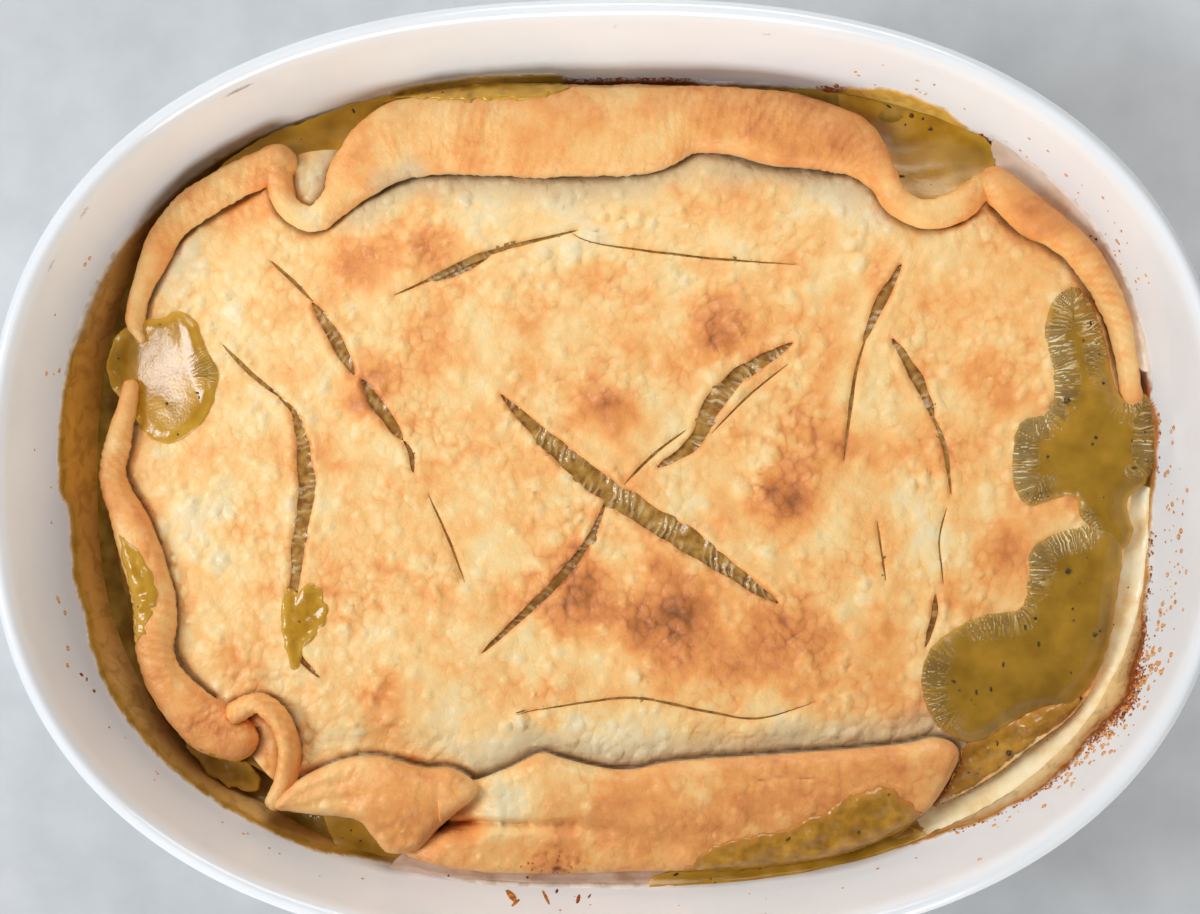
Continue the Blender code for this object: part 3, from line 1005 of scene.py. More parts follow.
def make_dish(material):
    """The oval baker, turned from its profile."""
    bm = bmesh.new()
    wear = bm.verts.layers.float.new("wear")
    turns = [math.tau * i / DISH_SIDES for i in range(DISH_SIDES)]
    profile = course_of(straight_rows(DISH_PROFILE, 3.0), 1.1)
    rings = [
        [inset_spot(turn, inset, max(0.0, height), power) for turn in turns]
        for inset, height, power in profile
    ]
    tube_of(bm, rings)
    close_up(bm)
    for vert in bm.verts:
        x, y, z = vert.co / MM
        if z < MARKED_HEIGHT or math.hypot(x / HALF_LENGTH, y / HALF_WIDTH) < 0.9:
            continue
        degrees = math.degrees(math.atan2(y / HALF_WIDTH, x / HALF_LENGTH)) % 360
        # Only the rim's inner side is marked
        inside = (abs(x) / HALF_LENGTH) ** 2.4 + (abs(y) / HALF_WIDTH) ** 2.4 < 0.93
        marks = 0.0
        for middle, spread, level, strength in SCUFFS:
            near = ((degrees - middle) / spread) ** 2 + ((z - level) / 0.8) ** 2
            marks = max(marks, strength * math.exp(-near))
        if THIN_GLAZE_DEGREES[0] < degrees < THIN_GLAZE_DEGREES[1]:
            marks = max(marks, 0.45 * falloff(z - THIN_GLAZE_HEIGHT, 0.45))
        vert[wear] = marks * inside
    return piece("stoneware_dish", bm, material, "glazed_stoneware", "dish")


# ---------------------------------------------------------------- gravy in the dish

# Height of the gravy between the wall and the crust: degrees, height
GRAVY_LEVELS = (
    (0, 47.0), (9, 46.0), (16, 45.0), (44, 45.0), (50, 46.0), (56, 48.0), (66, 47.0), (74, 44.0),
    (80, 43.0), (94, 43.0), (101, 46.5), (112, 46.0), (120, 45.0), (130, 44.0), (142, 41.0),
    (165, 37.0), (210, 37.0), (230, 40.0), (246, 45.0), (275, 45.0), (286, 47.6), (301, 47.6),
    (307, 44.0), (318, 43.0), (345, 43.0), (352, 45.0), (360, 47.0),
)
FILLING_SIDES = 480
WALL_GAP = 0.1
LID_GAP = 0.5

# How the gravy climbs at the wall: height over its level and distance from the wall
MENISCUS = ((0.9, 0.0), (0.35, 0.7), (0.1, 1.5), (0.0, 2.6), (0.0, 4.0), (0.0, 6.0))
BED_INSETS = (23.5, 28, 34, 48, 66, 88)  # of the bed's rings under the lid


def make_filling(material):
    """The filling's gravy: a sunken ring along the wall, and a bed under the lid."""
    bm = bmesh.new()
    turns = [math.tau * i / FILLING_SIDES for i in range(FILLING_SIDES)]
    levels = [between(GRAVY_LEVELS, turn)[0] for turn in turns]
    rings = []
    for inset, height, _ in straight_rows(tuple(reversed(INNER_WALL[2:])), 8.0):
        place = (inset + WALL_GAP, height + WALL_GAP, WALL_POWER)
        rings.append([inset_spot(turn, *place) for turn in turns])
    for climb, reach in MENISCUS:
        spots = []
        for turn, level in zip(turns, levels):
            spot = on_wall(turn, level, WALL_GAP + reach)
            ripple = 0.25 * noise.noise(Vector((spot.x / 7, spot.y / 7, 1)))
            spot.z += climb + ripple * min(1.0, reach / 2)
            spots.append(spot)
        rings.append(spots)
    for inset in BED_INSETS:
        spots = [inset_spot(turn, inset, LID_BED - LID_GAP, WALL_POWER) for turn in turns]
        for spot in spots:
            spot.z += lid_rise(spot.x, spot.y)
        rings.append(spots)
    tube_of(bm, rings)
    close_up(bm)
    return piece("gravy_filling", bm, material, "pie_filling", "filling")


# Section of the gravy in a slit, which climbs its sides: shares of half its width, and heights
SLIT_SECTION = ((-1, -3), (-1, 0.25), (-0.5, 0.02), (0, -0.1), (0.5, 0.02), (1, 0.25), (1, -3))
HAIR_CRACK = 1.3  # a cut no wider than this is filled nearly to the top
SLIT_OVERLAP = 0.6  # how far the gravy reaches under the dough on both sides


def make_slit_gravy(material):
    """Gravy that rose into the slits: a bead along each, deepest in its middle."""
    bm = bmesh.new()
    shore, reach, wrinkled = shore_layers(bm)
    sides = len(SLIT_SECTION)
    for opening, points in SLITS:
        rings = []
        for centre, sideways, half in cut_stations(opening, points, 0.8):
            x, y = centre
            sunk = 0.45 + 0.45 * noise.noise(Vector((x / 5, y / 5, 9)))
            level = smooth_lid(x, y) + lid_relief(x, y)
            top = level - (0.5 if opening < HAIR_CRACK else sunk + 0.2)
            spots = []
            for across, up in SLIT_SECTION:
                flat = centre + sideways * across * (half + SLIT_OVERLAP)
                crinkle = 0.1 * noise.noise(Vector((*flat / 2.4, 3))) * (up > -1)
                climb = min(1, opening / CURLED_OPENING) if up > 0 else 1
                spots.append(Vector((*flat, top + (up + crinkle) * climb)))
            rings.append(spots)
        for i, vert in enumerate(tube_of(bm, rings)):
            row, column = divmod(i, sides + 1)
            inwards = min(column % sides, sides - 1 - column % sides)
            vert[shore] = inwards * opening / 6 if opening > HAIR_CRACK else 1.3
            vert[reach] = row * 0.45 + 0.05 * opening * (column % sides)
            patch = 0.35 + 1.2 * noise.noise(vert.co / MM / 4)
            vert[wrinkled] = clamp(patch) * min(0.8, opening / 5)
    close_up(bm)
    return piece("slit_gravy", bm, material, "pie_filling")


# Gravy dried on the wall: degrees, height of its edge, how burnt the edge is, over how many
# millimetres it fades out at its edge, and the colours of its edge and its body
WALL_FILM = (
    (0, 51.0, 0.32, 0.4, "bc7630", "d8ac6c"),
    (7, 52.5, 0.36, 0.3, "c07838", "e0b47c"),
    (11, 50.5, 0.41, 0.4, "b4602c", "e8c4a0"),
    (15, 51.5, 0.1, 2.4, "f2dcc8", "f2d6bc"),
    (34, 52.6, 0.0, 2.6, "f8ece0", "f6e0cc"),
    (44, 52.3, 0.0, 2.6, "f8ece0", "f6e0cc"),
    (48, 48.5, 1.0, 0.5, "984a1c", "d0a050"),
    (51, 50.0, 0.5, 0.6, "cc983c", "d0ac54"),
    (55, 54.5, 0.1, 0.6, "e0b04c", "dab65e"),
    (60, 55.5, 0.1, 0.6, "e8b854", "deba60"),
    (64, 51.5, 0.2, 0.6, "e4b054", "dab25c"),
    (66, 49.0, 1.0, 0.5, "7c2c1c", "b08054"),
    (69, 47.0, 0.4, 1.0, "c88c74", "e4cabc"),
    (78, 45.5, 0.3, 1.5, "c08070", "e4ccc4"),
    (82, 46.2, 0.9, 0.8, "7c3034", "8c4448"),
    (93, 46.2, 0.9, 0.8, "7c3034", "8c4448"),
    (95, 49.5, 0.2, 0.4, "b4902c", "bc9840"),
    (103, 50.5, 0.0, 0.5, "d4ac58", "cca458"),
    (110, 50.0, 0.0, 0.5, "d0a854", "c8a050"),
    (113.5, 48.0, 0.1, 0.8, "c49840", "c09a4c"),
    (119, 47.0, 0.0, 1.0, "c8a44c", "c09a4c"),
    (128, 48.5, 0.0, 1.2, "c8a44c", "c0944a"),
    (140, 49.0, 0.0, 2.0, "c49c58", "c08c44"),
    (149, 51.5, 0.0, 2.2, "c89c60", "cc9448"),
    (158, 52.5, 0.0, 2.5, "c49a58", "d89c50"),
    (164, 53.4, 0.0, 1.0, "c49438", "e4a448"),
    (175, 54.0, 0.0, 0.5, "c49438", "e8a848"),
    (181, 53.5, 0.0, 0.5, "c49438", "e8a648"),
    (185, 49.5, 0.1, 0.4, "c09238", "e4a450"),
    (194, 50.0, 0.0, 0.4, "c49638", "e8ac58"),
    (199, 49.0, 0.1, 0.4, "c89838", "ecb05c"),
    (209, 50.9, 0.1, 0.4, "bc9030", "f0bc70"),
    (220, 50.5, 0.2, 0.4, "b88a2c", "f4c478"),
    (232, 50.5, 0.1, 0.4, "bc8c28", "f4c880"),
    (240, 51.5, 0.1, 0.4, "b8881c", "f0c070"),
    (245, 49.0, 0.2, 0.4, "a8841c", "b8942c"),
    (248, 50.0, 0.1, 2.0, "d8b894", "dcc0a8"),
    (258, 52.6, 0.0, 3.0, "ecccb8", "e0bca4"),
    (276, 52.6, 0.0, 3.0, "ecccb8", "e0bca4"),
    (280, 48.0, 0.1, 0.6, "c8a468", "a88434"),
    (296, 48.5, 0.4, 0.5, "b8842c", "a08034"),
    (304, 50.5, 0.3, 0.4, "b87c28", "b49450"),
    (311, 53.5, 0.3, 0.4, "b87828", "d4c4a0"),
    (317, 56.2, 0.6, 0.4, "b06c20", "e4c894"),
    (323, 55.0, 0.7, 0.4, "b06c20", "e8ca94"),
    (326, 56.6, 1.0, 0.4, "ac641c", "e8ca90"),
    (330, 58.4, 1.0, 0.4, "a45414", "eccc90"),
    (337, 53.8, 1.0, 0.4, "ac6014", "f0d8a4"),
    (343, 50.6, 0.5, 0.4, "c08028", "f0d49c"),
    (349, 48.8, 0.25, 0.5, "cc9434", "f0d49c"),
    (355, 49.0, 0.25, 0.5, "cc9434", "ecce90"),
    (360, 51.0, 0.32, 0.4, "bc7630", "d8ac6c"),
)
GLAZE_WHITE = "f2efec"
FILM_SIDES = 900
FILM_BOTTOM = 36.0
FILM_TOP = 63.0
FILM_STEP = 0.5
FILM_THICKNESS = 0.28
FILM_ROOT = 0.8  # how deep the film's back lies in the wall


def make_wall_film(material):
    """A thin dried film all round the wall, up to the ragged line where the gravy once stood."""
    table = [(*row[:4], *linear(row[4])[:3], *linear(row[5])[:3]) for row in WALL_FILM]
    glaze = Vector(linear(GLAZE_WHITE)[:3])
    bm = bmesh.new()
    tint = bm.verts.layers.float_color.new("tint")
    burnt = bm.verts.layers.float.new("burnt")
    turns = [math.tau * i / FILM_SIDES for i in range(FILM_SIDES)]
    rows = [between(table, turn) for turn in turns]
    count = round((FILM_TOP - FILM_BOTTOM) / FILM_STEP)
    heights = [FILM_BOTTOM + FILM_STEP * i for i in range(count + 1)]
    back = [(height, -FILM_ROOT) for height in (FILM_TOP, FILM_BOTTOM)]
    rings, looks = [], []
    for height, sunk in [*((height, None) for height in heights), *back]:
        spots, shades = [], []
        for turn, (top, char, fade, *colours) in zip(turns, rows):
            place = on_wall(turn, height)
            ragged = 0.8 * noise.fractal(place / 5, 0.6, 2.1, 3) + 0.3 * noise.noise(place / 1.1)
            below = top + ragged * (0.6 + char) - height
            film = FILM_THICKNESS * min(1.0, below / 0.8)
            bead = (0.1 + 0.3 * char) * falloff(below - 0.9, 0.8)
            grain = 0.25 * char * max(0.0, noise.noise(place / 0.9)) * (below > 0)
            proud = film + bead + grain + 0.06 * noise.noise(place / 3)
            spots.append(on_wall(turn, height, max(-0.5, proud) if sunk is None else sunk))
            rim = falloff(max(0.0, below), 2.6 + 1.6 * char + 0.5 * fade)
            stain = Vector(colours[3:]).lerp(Vector(colours[:3]), rim)
            scorch = falloff(max(0.0, below), 1.0 + 3.2 * char)
            shades.append((*glaze.lerp(stain, clamp(below / fade)), char * scorch))
        rings.append(spots)
        looks.append(shades)
    looks.append(looks[0])
    looks = [shade for shades in looks for shade in (*shades, shades[0])]
    for vert, (red, green, blue, seared) in zip(tube_of(bm, rings, joined=True), looks):
        vert[tint] = (red, green, blue, 1.0)
        vert[burnt] = seared
    close_up(bm)
    return piece("dried_gravy_film", bm, material, "set_gravy", sharp=70)


# ---------------------------------------------------------------- gravy on the crust

# Gravy standing or dried between the crust and the wall: its plane, as x, y and height of a
# place in it and its slopes along x and y, and its outline, clockwise
PATCHES = {
    "pocket_gravy": (
        (80, 72, 51.0, 0.0, -0.22),
        ((58, 95), (70, 94), (82, 89.5), (91, 83), (95.5, 77), (90, 68), (78, 65), (71, 70), (62, 82)),
    ),
    "wall_cream": (
        (110, 60, 50.0, 0.0, 0.0),
        (
            (94.6, 78.6), (97, 82.5), (104.4, 77.8), (112.4, 70.8), (119.4, 62.8), (124.9, 54.4),
            (129.4, 44.5), (132.8, 33), (134, 26), (129, 25.5), (123.5, 36), (117, 49), (108, 59),
            (98, 69),
        ),
    ),
    "flap_cream": (
        (0, -97, 49.5, 0.0, 0.0),
        (
            (17, -98.4), (14, -101.6), (0, -102), (-25, -101.2), (-40, -99.8), (-50, -98),
            (-53, -95), (-47, -91.5), (-38, -93), (-25, -94.6), (0, -95), (12, -95.4),
        ),
    ),
    "seam_gravy": (
        (30, -97, 50.0, -0.05, 0.0),
        (
            (78, -90.5), (60, -97), (40, -100.4), (24, -101.4), (13, -101.6), (11, -98),
            (24, -95), (40, -93.5), (58, -90), (72, -85.5),
        ),
    ),
    "shoulder_gravy": (
        (-72, 84, 47.6, 0.0, -0.16),
        ((-97, 74), (-86, 83.5), (-72, 89), (-60, 93), (-48, 94), (-48, 82), (-62, 76), (-82, 75)),
    ),
    "cream_shelf": (
        (120, -48, 46.8, 0.0, 0.0),
        (
            (126.5, -8), (128.6, -3.8), (131, -3.2), (133, -7), (132.5, -30), (129, -44),
            (121, -59), (108, -71), (94, -80), (80, -87), (72, -88), (78, -80), (92, -72),
            (106, -63), (114, -54), (120, -42), (123, -26), (124, -12),
        ),
    ),
    "corner_gravy": (
        (-56, -86, 46.4, 0.05, 0.16),
        ((-70, -80), (-60, -80), (-52, -84), (-48, -92), (-52, -97), (-60, -95), (-68, -90)),
    ),
}

# Runs of gravy over the folds and the lid: their outlines, clockwise
GLAZES = {
    "flap_gravy": (
        (14, -97.5), (20, -94), (26, -89), (34, -87), (46, -84), (54, -79.5), (60, -76),
        (67, -75), (72, -78), (77, -82), (80, -86.5), (72, -89.5), (58, -93), (40, -96.5),
        (24, -98.5),
    ),
    "tail_gravy": (
        (86.8, -65.5), (91, -63.5), (96, -60), (103, -57), (110, -54.6), (115.4, -53.6),
        (114.2, -60.8), (107, -68.4), (99, -74.6), (90, -80.4), (80, -82.6), (82, -76.5),
        (85.5, -71), (86, -68),
    ),
    "roll_gravy": (
        (-118.5, -14), (-114.5, -17), (-111.5, -21), (-109.5, -26), (-109.8, -31), (-112, -36),
        (-114.5, -41), (-115.8, -36), (-116.2, -28), (-118, -20),
    ),
    "roll_end_gravy": ((-108, -62), (-100, -66), (-93, -69), (-88, -72), (-88, -78), (-98, -75)),
    "tuck_gravy": ((-62, 91.5), (-50, 93), (-34, 91.5), (-12, 92.5), (-10, 96), (-34, 98), (-56, 95)),
    "slit_overflow": (
        (-79.3, -30), (-78, -27), (-75.8, -28), (-73.6, -26.4), (-71.2, -25.8), (-69, -28.5),
        (-68.2, -33), (-69.4, -37), (-71.8, -40), (-73.8, -42), (-75.4, -46), (-77, -47),
        (-78.4, -42), (-79.4, -36),
    ),
}

YELLOW_GLAZES = ("roll_gravy", "roll_end_gravy", "tuck_gravy", "slit_overflow")
POOL_CELL = 0.4
RUN_CELL = 0.55
POOL_FOOT = 44.0
POOL_SLOPE = 5.5  # how far in from its shore a pool reaches its full depth
PATCH_DEPTH = 3.0
WALL_CLIMB = 1.4  # of the gravy that dried up the wall
WALL_CLIMB_REACH = 1.6
RUN_DEPTH = 1.5  # how deep a run over the dough is sunk into it

# The left pool set while the dish stood tilted: a place in its plane, and the plane's slopes
LEFT_POOL_PLACE = (-100, 24)
LEFT_POOL_SLOPES = (0.285, 0.04)
LEFT_POOL_SLOPE = 3.2

# Where the skin of the gravy wrinkled: x, y, radius, amount
WRINKLED = (
    (101, 1, 10, 1.6),
    (109, 26, 13, 1.6),
    (118, 34, 9, 1.1),
    (131, 8, 12, 1.2),
    (80, -52, 13, 0.5),
    (96, -36, 10, 0.4),
    (103, -22, 10, 0.8),
    (105, 13, 8, 1.4),
    (113, -15, 8, 1.4),
    (113, 43, 7, 1.2),
    (-97, 27, 7, 0.4),
)


def shore_layers(bm):
    """What the finish of set gravy reads: distance from and along the shore, and wrinkling."""
    return float_layers(bm, "shore", "reach", "wrinkled")


def shore_of(edge, near_edge, spot):
    """How far a place is from an outline, and how far along it the nearest point lies."""
    _, index, _ = near_edge.find((spot.x, spot.y, 0))
    best = (1e9, 0.0)
    for start in (index - 1, index):
        first, second = edge[start], edge[(start + 1) % len(edge)]
        _, share = intersect_point_line(spot, first, second)
        share = clamp(share)
        gap = (spot - first.lerp(second, share)).length
        best = min(best, (gap, (start + share) * (second - first).length))
    return best


def wander(spot):
    """How far a shore strays from its smooth outline, in millimetres."""
    place = Vector((*spot / 2.4, 0))
    return Vector((noise.noise(place), noise.noise(place + Vector((0, 0, 7)))))


def make_puddle(name, outline, cell, material, surface, foot, *stands_for, stray=0.4):
    """Gravy over an outline, whose shore wanders a little.

    surface gives its height from x, y and the distance from the shore, and foot gives the
    height of its underside from x and y.
    """
    edge = [spot + stray * wander(spot) for spot in course_of(outline, 0.6, closed=True)]
    near_edge = tree_of(edge)
    bm = flat_slab(edge, cell)
    shore, reach, wrinkled = shore_layers(bm)
    for vert in bm.verts:
        spot = vert.co.xy / MM
        vert[shore], vert[reach] = shore_of(edge, near_edge, spot)
        vert[wrinkled] = min(1.0, bumps(WRINKLED, *spot))
        if vert.co.z > SLAB_HALF:
            vert.co.z = surface(*spot, vert[shore]) * MM
        else:
            vert.co.z = foot(*spot) * MM
    return piece(name, bm, material, "set_gravy", *stands_for, sharp=70)


def rounded_shore(distance, radius):
    """The bulge of a drop's edge: 0 at the shore and 1 from this radius inwards."""
    return math.sqrt(1 - (1 - min(1.0, distance / radius)) ** 2)


def plane_height(plane, x, y):
    """Height of a plane, given by x, y and height of a place in it and its slopes."""
    near_x, near_y, height, slope_x, slope_y = plane
    return height + slope_x * (x - near_x) + slope_y * (y - near_y)


def left_pool_depth(x, y, depth):
    """The left pool's depth under its tilted plane, less where it runs down to the wall."""
    level = smooth_lid(*LEFT_POOL_PLACE) + depth
    level = plane_height((*LEFT_POOL_PLACE, level, *LEFT_POOL_SLOPES), x, y)
    over = max(0.0, -114.5 - x + 0.016 * (y - 27) ** 2)
    return max(1.0, level - smooth_lid(x, y)) - 0.05 * over**2


def make_pools(material, yellow):
    """Gravy that boiled over onto the lid and set with a skin."""
    pools = []
    for name, (depth, outline) in POOLS.items():
        tilted = name == "gravy_pool_left"

        def surface(x, y, distance, depth=depth, tilted=tilted):
            place = Vector((x, y, 0))
            skin = 0.08 * noise.noise(place / 5) + 0.03 * noise.noise(place / 2)
            if tilted:
                depth = left_pool_depth(x, y, depth)
            bed = smooth_lid(x, y) + lid_relief(x, y) * math.exp(-distance / 1.2) - 0.25
            brim = 0.5 * rounded_shore(distance, 0.5)
            width = LEFT_POOL_SLOPE if tilted else POOL_SLOPE
            slope = 1 - (1 - min(1.0, distance / width)) ** 2
            return bed + brim + (depth - 0.25 + skin) * slope

        finish = yellow if tilted else material
        puddle = make_puddle(
            f"set_{name}", outline, POOL_CELL, finish, surface, lambda x, y: POOL_FOOT, name
        )
        pools.append(puddle)
    return pools


def make_patches(material, dried):
    """Gravy that stands level, or has dried, in the hollows between the crust and the wall."""
    patches = []
    for name, (plane, outline) in PATCHES.items():

        def surface(x, y, _, plane=plane):
            level = plane_height(plane, x, y)
            ripple = 0.55 * noise.noise(Vector((x / 10, y / 6, 4)))
            climb = WALL_CLIMB * math.exp(-wall_gap(x, y, level) / WALL_CLIMB_REACH)
            return level + ripple + climb

        def foot(x, y, plane=plane):
            return plane_height(plane, x, y) - PATCH_DEPTH

        finish = dried.get(name, material)
        patches.append(make_puddle(name, outline, RUN_CELL, finish, surface, foot))
    return patches


def make_glazes(material, yellow, *crust):
    """Thin runs of gravy over the folds."""
    covers = covers_of(crust)

    def crust_top(x, y):
        return max([*heights_at(covers, x, y), POOL_FOOT])

    def surface(x, y, distance):
        steps = ((0, 0), (1, 0), (-1, 0), (0, 1), (0, -1))
        around = [crust_top(x + dx, y + dy) for dx, dy in steps]
        place = Vector((x / 3.5, y / 2.6, 2))
        lumps = 0.7 * noise.noise(place) + 0.3 * noise.noise(place * 2.7)
        film = (0.65 + lumps) * rounded_shore(distance, 2.0) - 0.1
        return (max(around) + sum(around) / 5) / 2 + film

    def foot(x, y):
        return crust_top(x, y) - RUN_DEPTH

    glazes = []
    for name, outline in GLAZES.items():
        finish = yellow if name in YELLOW_GLAZES else material
        glazes.append(make_puddle(name, outline, RUN_CELL, finish, surface, foot, stray=1.0))
    return glazes


# ---------------------------------------------------------------- small scattered things


def add_grain(bm, centre, size, squash, turn, subdivisions=1):
    """One small lump at a place, all in millimetres."""
    matrix = Matrix.LocRotScale(centre * MM, turn.to_quaternion(), squash * MM)
    verts = bmesh.ops.create_icosphere(
        bm, subdivisions=subdivisions, radius=size / 2, matrix=matrix
    )["verts"]
    for vert in verts:
        dent = 0.18 * size * noise.noise(vert.co / MM / size * 1.7)
        vert.co += (vert.co - centre * MM).normalized() * dent * MM
    return verts


def wall_frame(turn, height):
    """A place on the inner wall and the direction in which the wall faces there."""
    place = on_wall(turn, height)
    along = on_wall(turn + 0.01, height) - place
    upward = on_wall(turn, height + 0.5) - place
    return place, upward.cross(along).normalized()


# Spatter over the film: count, degrees from and to, lowest height, how far it is strewn
# upwards and the largest size
SPATTER = (
    (30, 342, 366, 54, 5, 1.2),
    (40, 22, 66, 52.5, 6, 1.1),
    (26, 150, 250, 55.5, 4, 1.3),
    (16, 255, 330, 55, 6, 1.0),
)
HIGHEST_SPATTER = 69.0
RING_SIZE = 1.05  # larger spots are rings


def make_spatter(material):
    """Rings and drops of gravy that burst on the wall and browned."""
    draw = random.Random(11)
    bm = bmesh.new()
    spots = []
    for _ in range(190):  # around the burnt corner, thinning out upwards
        degrees = 331 + draw.gauss(0, 7.5)
        spots.append((degrees, 57 + abs(draw.gauss(0, 4.5)), draw.uniform(0.45, 1.5)))
    for count, start, end, lowest, spread, largest in SPATTER:
        for _ in range(count):
            degrees, height = draw.uniform(start, end), lowest + abs(draw.gauss(0, spread))
            spots.append((degrees, height, draw.uniform(0.4, largest)))
    for degrees, height, size in spots:
        centre, facing = wall_frame(math.radians(degrees), min(height, HIGHEST_SPATTER))
        if size > RING_SIZE:
            add_ring(bm, centre, facing, 0.34 * size, 0.17 * size)
        else:
            squash = Vector((1, 1, 0.4))
            add_grain(bm, centre, size, squash, facing.to_track_quat("Z", "Y").to_euler())
    close_up(bm)
    return piece("burst_spatter", bm, material, "set_gravy")


def add_ring(bm, centre, facing, radius, thickness):
    """The ring left by a burst bubble."""
    side = facing.orthogonal().normalized()
    over = facing.cross(side)
    rings = []
    for i in range(12):
        outward = side * math.cos(math.tau * i / 12) + over * math.sin(math.tau * i / 12)
        ring = []
        for turn in (math.tau * k / 5 for k in range(5)):
            out = outward * (radius + thickness * math.cos(turn))
            ring.append(centre + out + facing * thickness * math.sin(turn))
        rings.append(ring)
    tube_of(bm, rings, joined=True)


# Drips that burnt on the wall: degrees, height, size, length over width
BURNT_DRIPS = (
    (260.4, 57.0, 1.9, 3.4),
    (261.0, 60.0, 1.0, 4.0),
    (263.9, 57.0, 0.8, 9.0),
    (264.9, 54.2, 0.7, 3.2),
    (267.2, 57.4, 1.0, 4.4),
    (268.3, 56.2, 0.6, 3.6),
    (206.5, 57.5, 0.9, 1.5),
    (207.3, 56.4, 0.7, 2.2),
    (209.0, 55.8, 1.0, 1.2),
    (64.9, 49.6, 1.8, 1.0),
    (65.8, 50.0, 1.4, 1.3),
    (48.9, 49.0, 1.5, 1.6),
)


def make_crumbs(material, flap):
    """Burnt grains along the scorched edge of the wall film, burnt drips and a scorched flap."""
    draw = random.Random(23)
    bm = bmesh.new()
    scorched = [(draw.gauss(330, 3.6), draw.gauss(0.4, 2.0)) for _ in range(560)]
    scorched += [(draw.uniform(306, 352), draw.gauss(-0.3, 0.8)) for _ in range(260)]
    scorched += [(draw.gauss(49, 0.8), draw.gauss(0.2, 0.6)) for _ in range(24)]
    scorched += [(draw.uniform(0, 12), draw.gauss(0, 0.3)) for _ in range(16)]
    for degrees, above in scorched:
        turn = math.radians(degrees % 360)
        centre, _ = wall_frame(turn, between(WALL_FILM, turn)[0] + 0.4 + above)
        lean = Vector((draw.random(), draw.random(), draw.random())) * math.tau
        lying = Matrix.Rotation(lean.x, 3, lean).to_euler()
        add_grain(bm, centre, draw.uniform(0.3, 0.95), Vector((1, 1, 0.8)), lying)
    for degrees, height, size, stretch in BURNT_DRIPS:
        centre, facing = wall_frame(math.radians(degrees), height)
        sway = Quaternion((0, 0, 1), draw.uniform(-0.6, 0.6))
        lying = (facing.to_track_quat("Z", "Y") @ sway).to_euler()
        add_grain(bm, centre, size, Vector((1, stretch, 0.3)), lying, 2)
    covers = covers_of([flap])
    for _ in range(14):
        x, y = draw.gauss(-12, 4.0), -96.4 + abs(draw.gauss(0, 1.2))
        for height in heights_at(covers, x, y):
            lying = Matrix.Rotation(draw.uniform(0, math.tau), 3, "Z").to_euler()
            centre = Vector((x, y, height))
            add_grain(bm, centre, draw.uniform(0.35, 0.7), Vector((1, 1, 0.7)), lying)
    return piece("burnt_crumbs", bm, material, "set_gravy")


# Large peppercorn bits in the pools: x, y, size
PEPPER = (
    (111.8, 17.7, 1.7),
    (118.8, 8.5, 0.9),
    (117.9, 7.0, 0.8),
    (111.8, -23.7, 1.6),
    (118.2, -39.0, 1.1),
    (103.8, -35.0, 0.9),
    (120.8, 21.7, 0.8),
    (116.0, 32.0, 0.7),
    (97.5, -67.6, 1.6),
    (75.5, 87.5, 1.3),
    (-108.0, 18.5, 0.8),
    (107.0, 4.0, 0.9),
)

# Bits of thyme leaf: x, y
THYME = (
    (94.8, -65.4), (89.5, -52.7), (93.0, -52.0), (96.0, -46.0), (84.0, -50.0), (128.0, 1.2),
    (108.5, -9.0), (104.0, 16.0), (70.0, 90.0), (80.0, 84.0), (-62.0, 91.0), (-42.0, 95.0),
    (-100.0, 21.0),
)


def make_seasoning(material, *soaked):
    """Pepper and thyme, half sunk in the gravy."""
    draw = random.Random(5)
    covers = covers_of(soaked)
    bits = [(x, y, size, 1.0) for x, y, size in PEPPER]
    bits += [(x, y, 0.6, draw.uniform(1.6, 2.8)) for x, y in THYME]
    for _ in range(520):
        long = 1.0 if draw.random() < 0.7 else draw.uniform(1.6, 2.6)
        spot = (draw.uniform(-124, 134), draw.uniform(-100, 98))
        bits.append((*spot, draw.uniform(0.3, 0.75), long))
    bm = bmesh.new()
    for x, y, size, stretch in bits:
        heights = heights_at(covers, x, y)
        if heights:
            centre = Vector((x, y, max(heights) + 0.1 * size))
            turn = Matrix.Rotation(draw.uniform(0, math.tau), 3, "Z").to_euler()
            add_grain(bm, centre, size, Vector((stretch, 1, 0.7)), turn)
    return piece("pepper_and_thyme", bm, material, "pie_filling")


# ---------------------------------------------------------------- materials


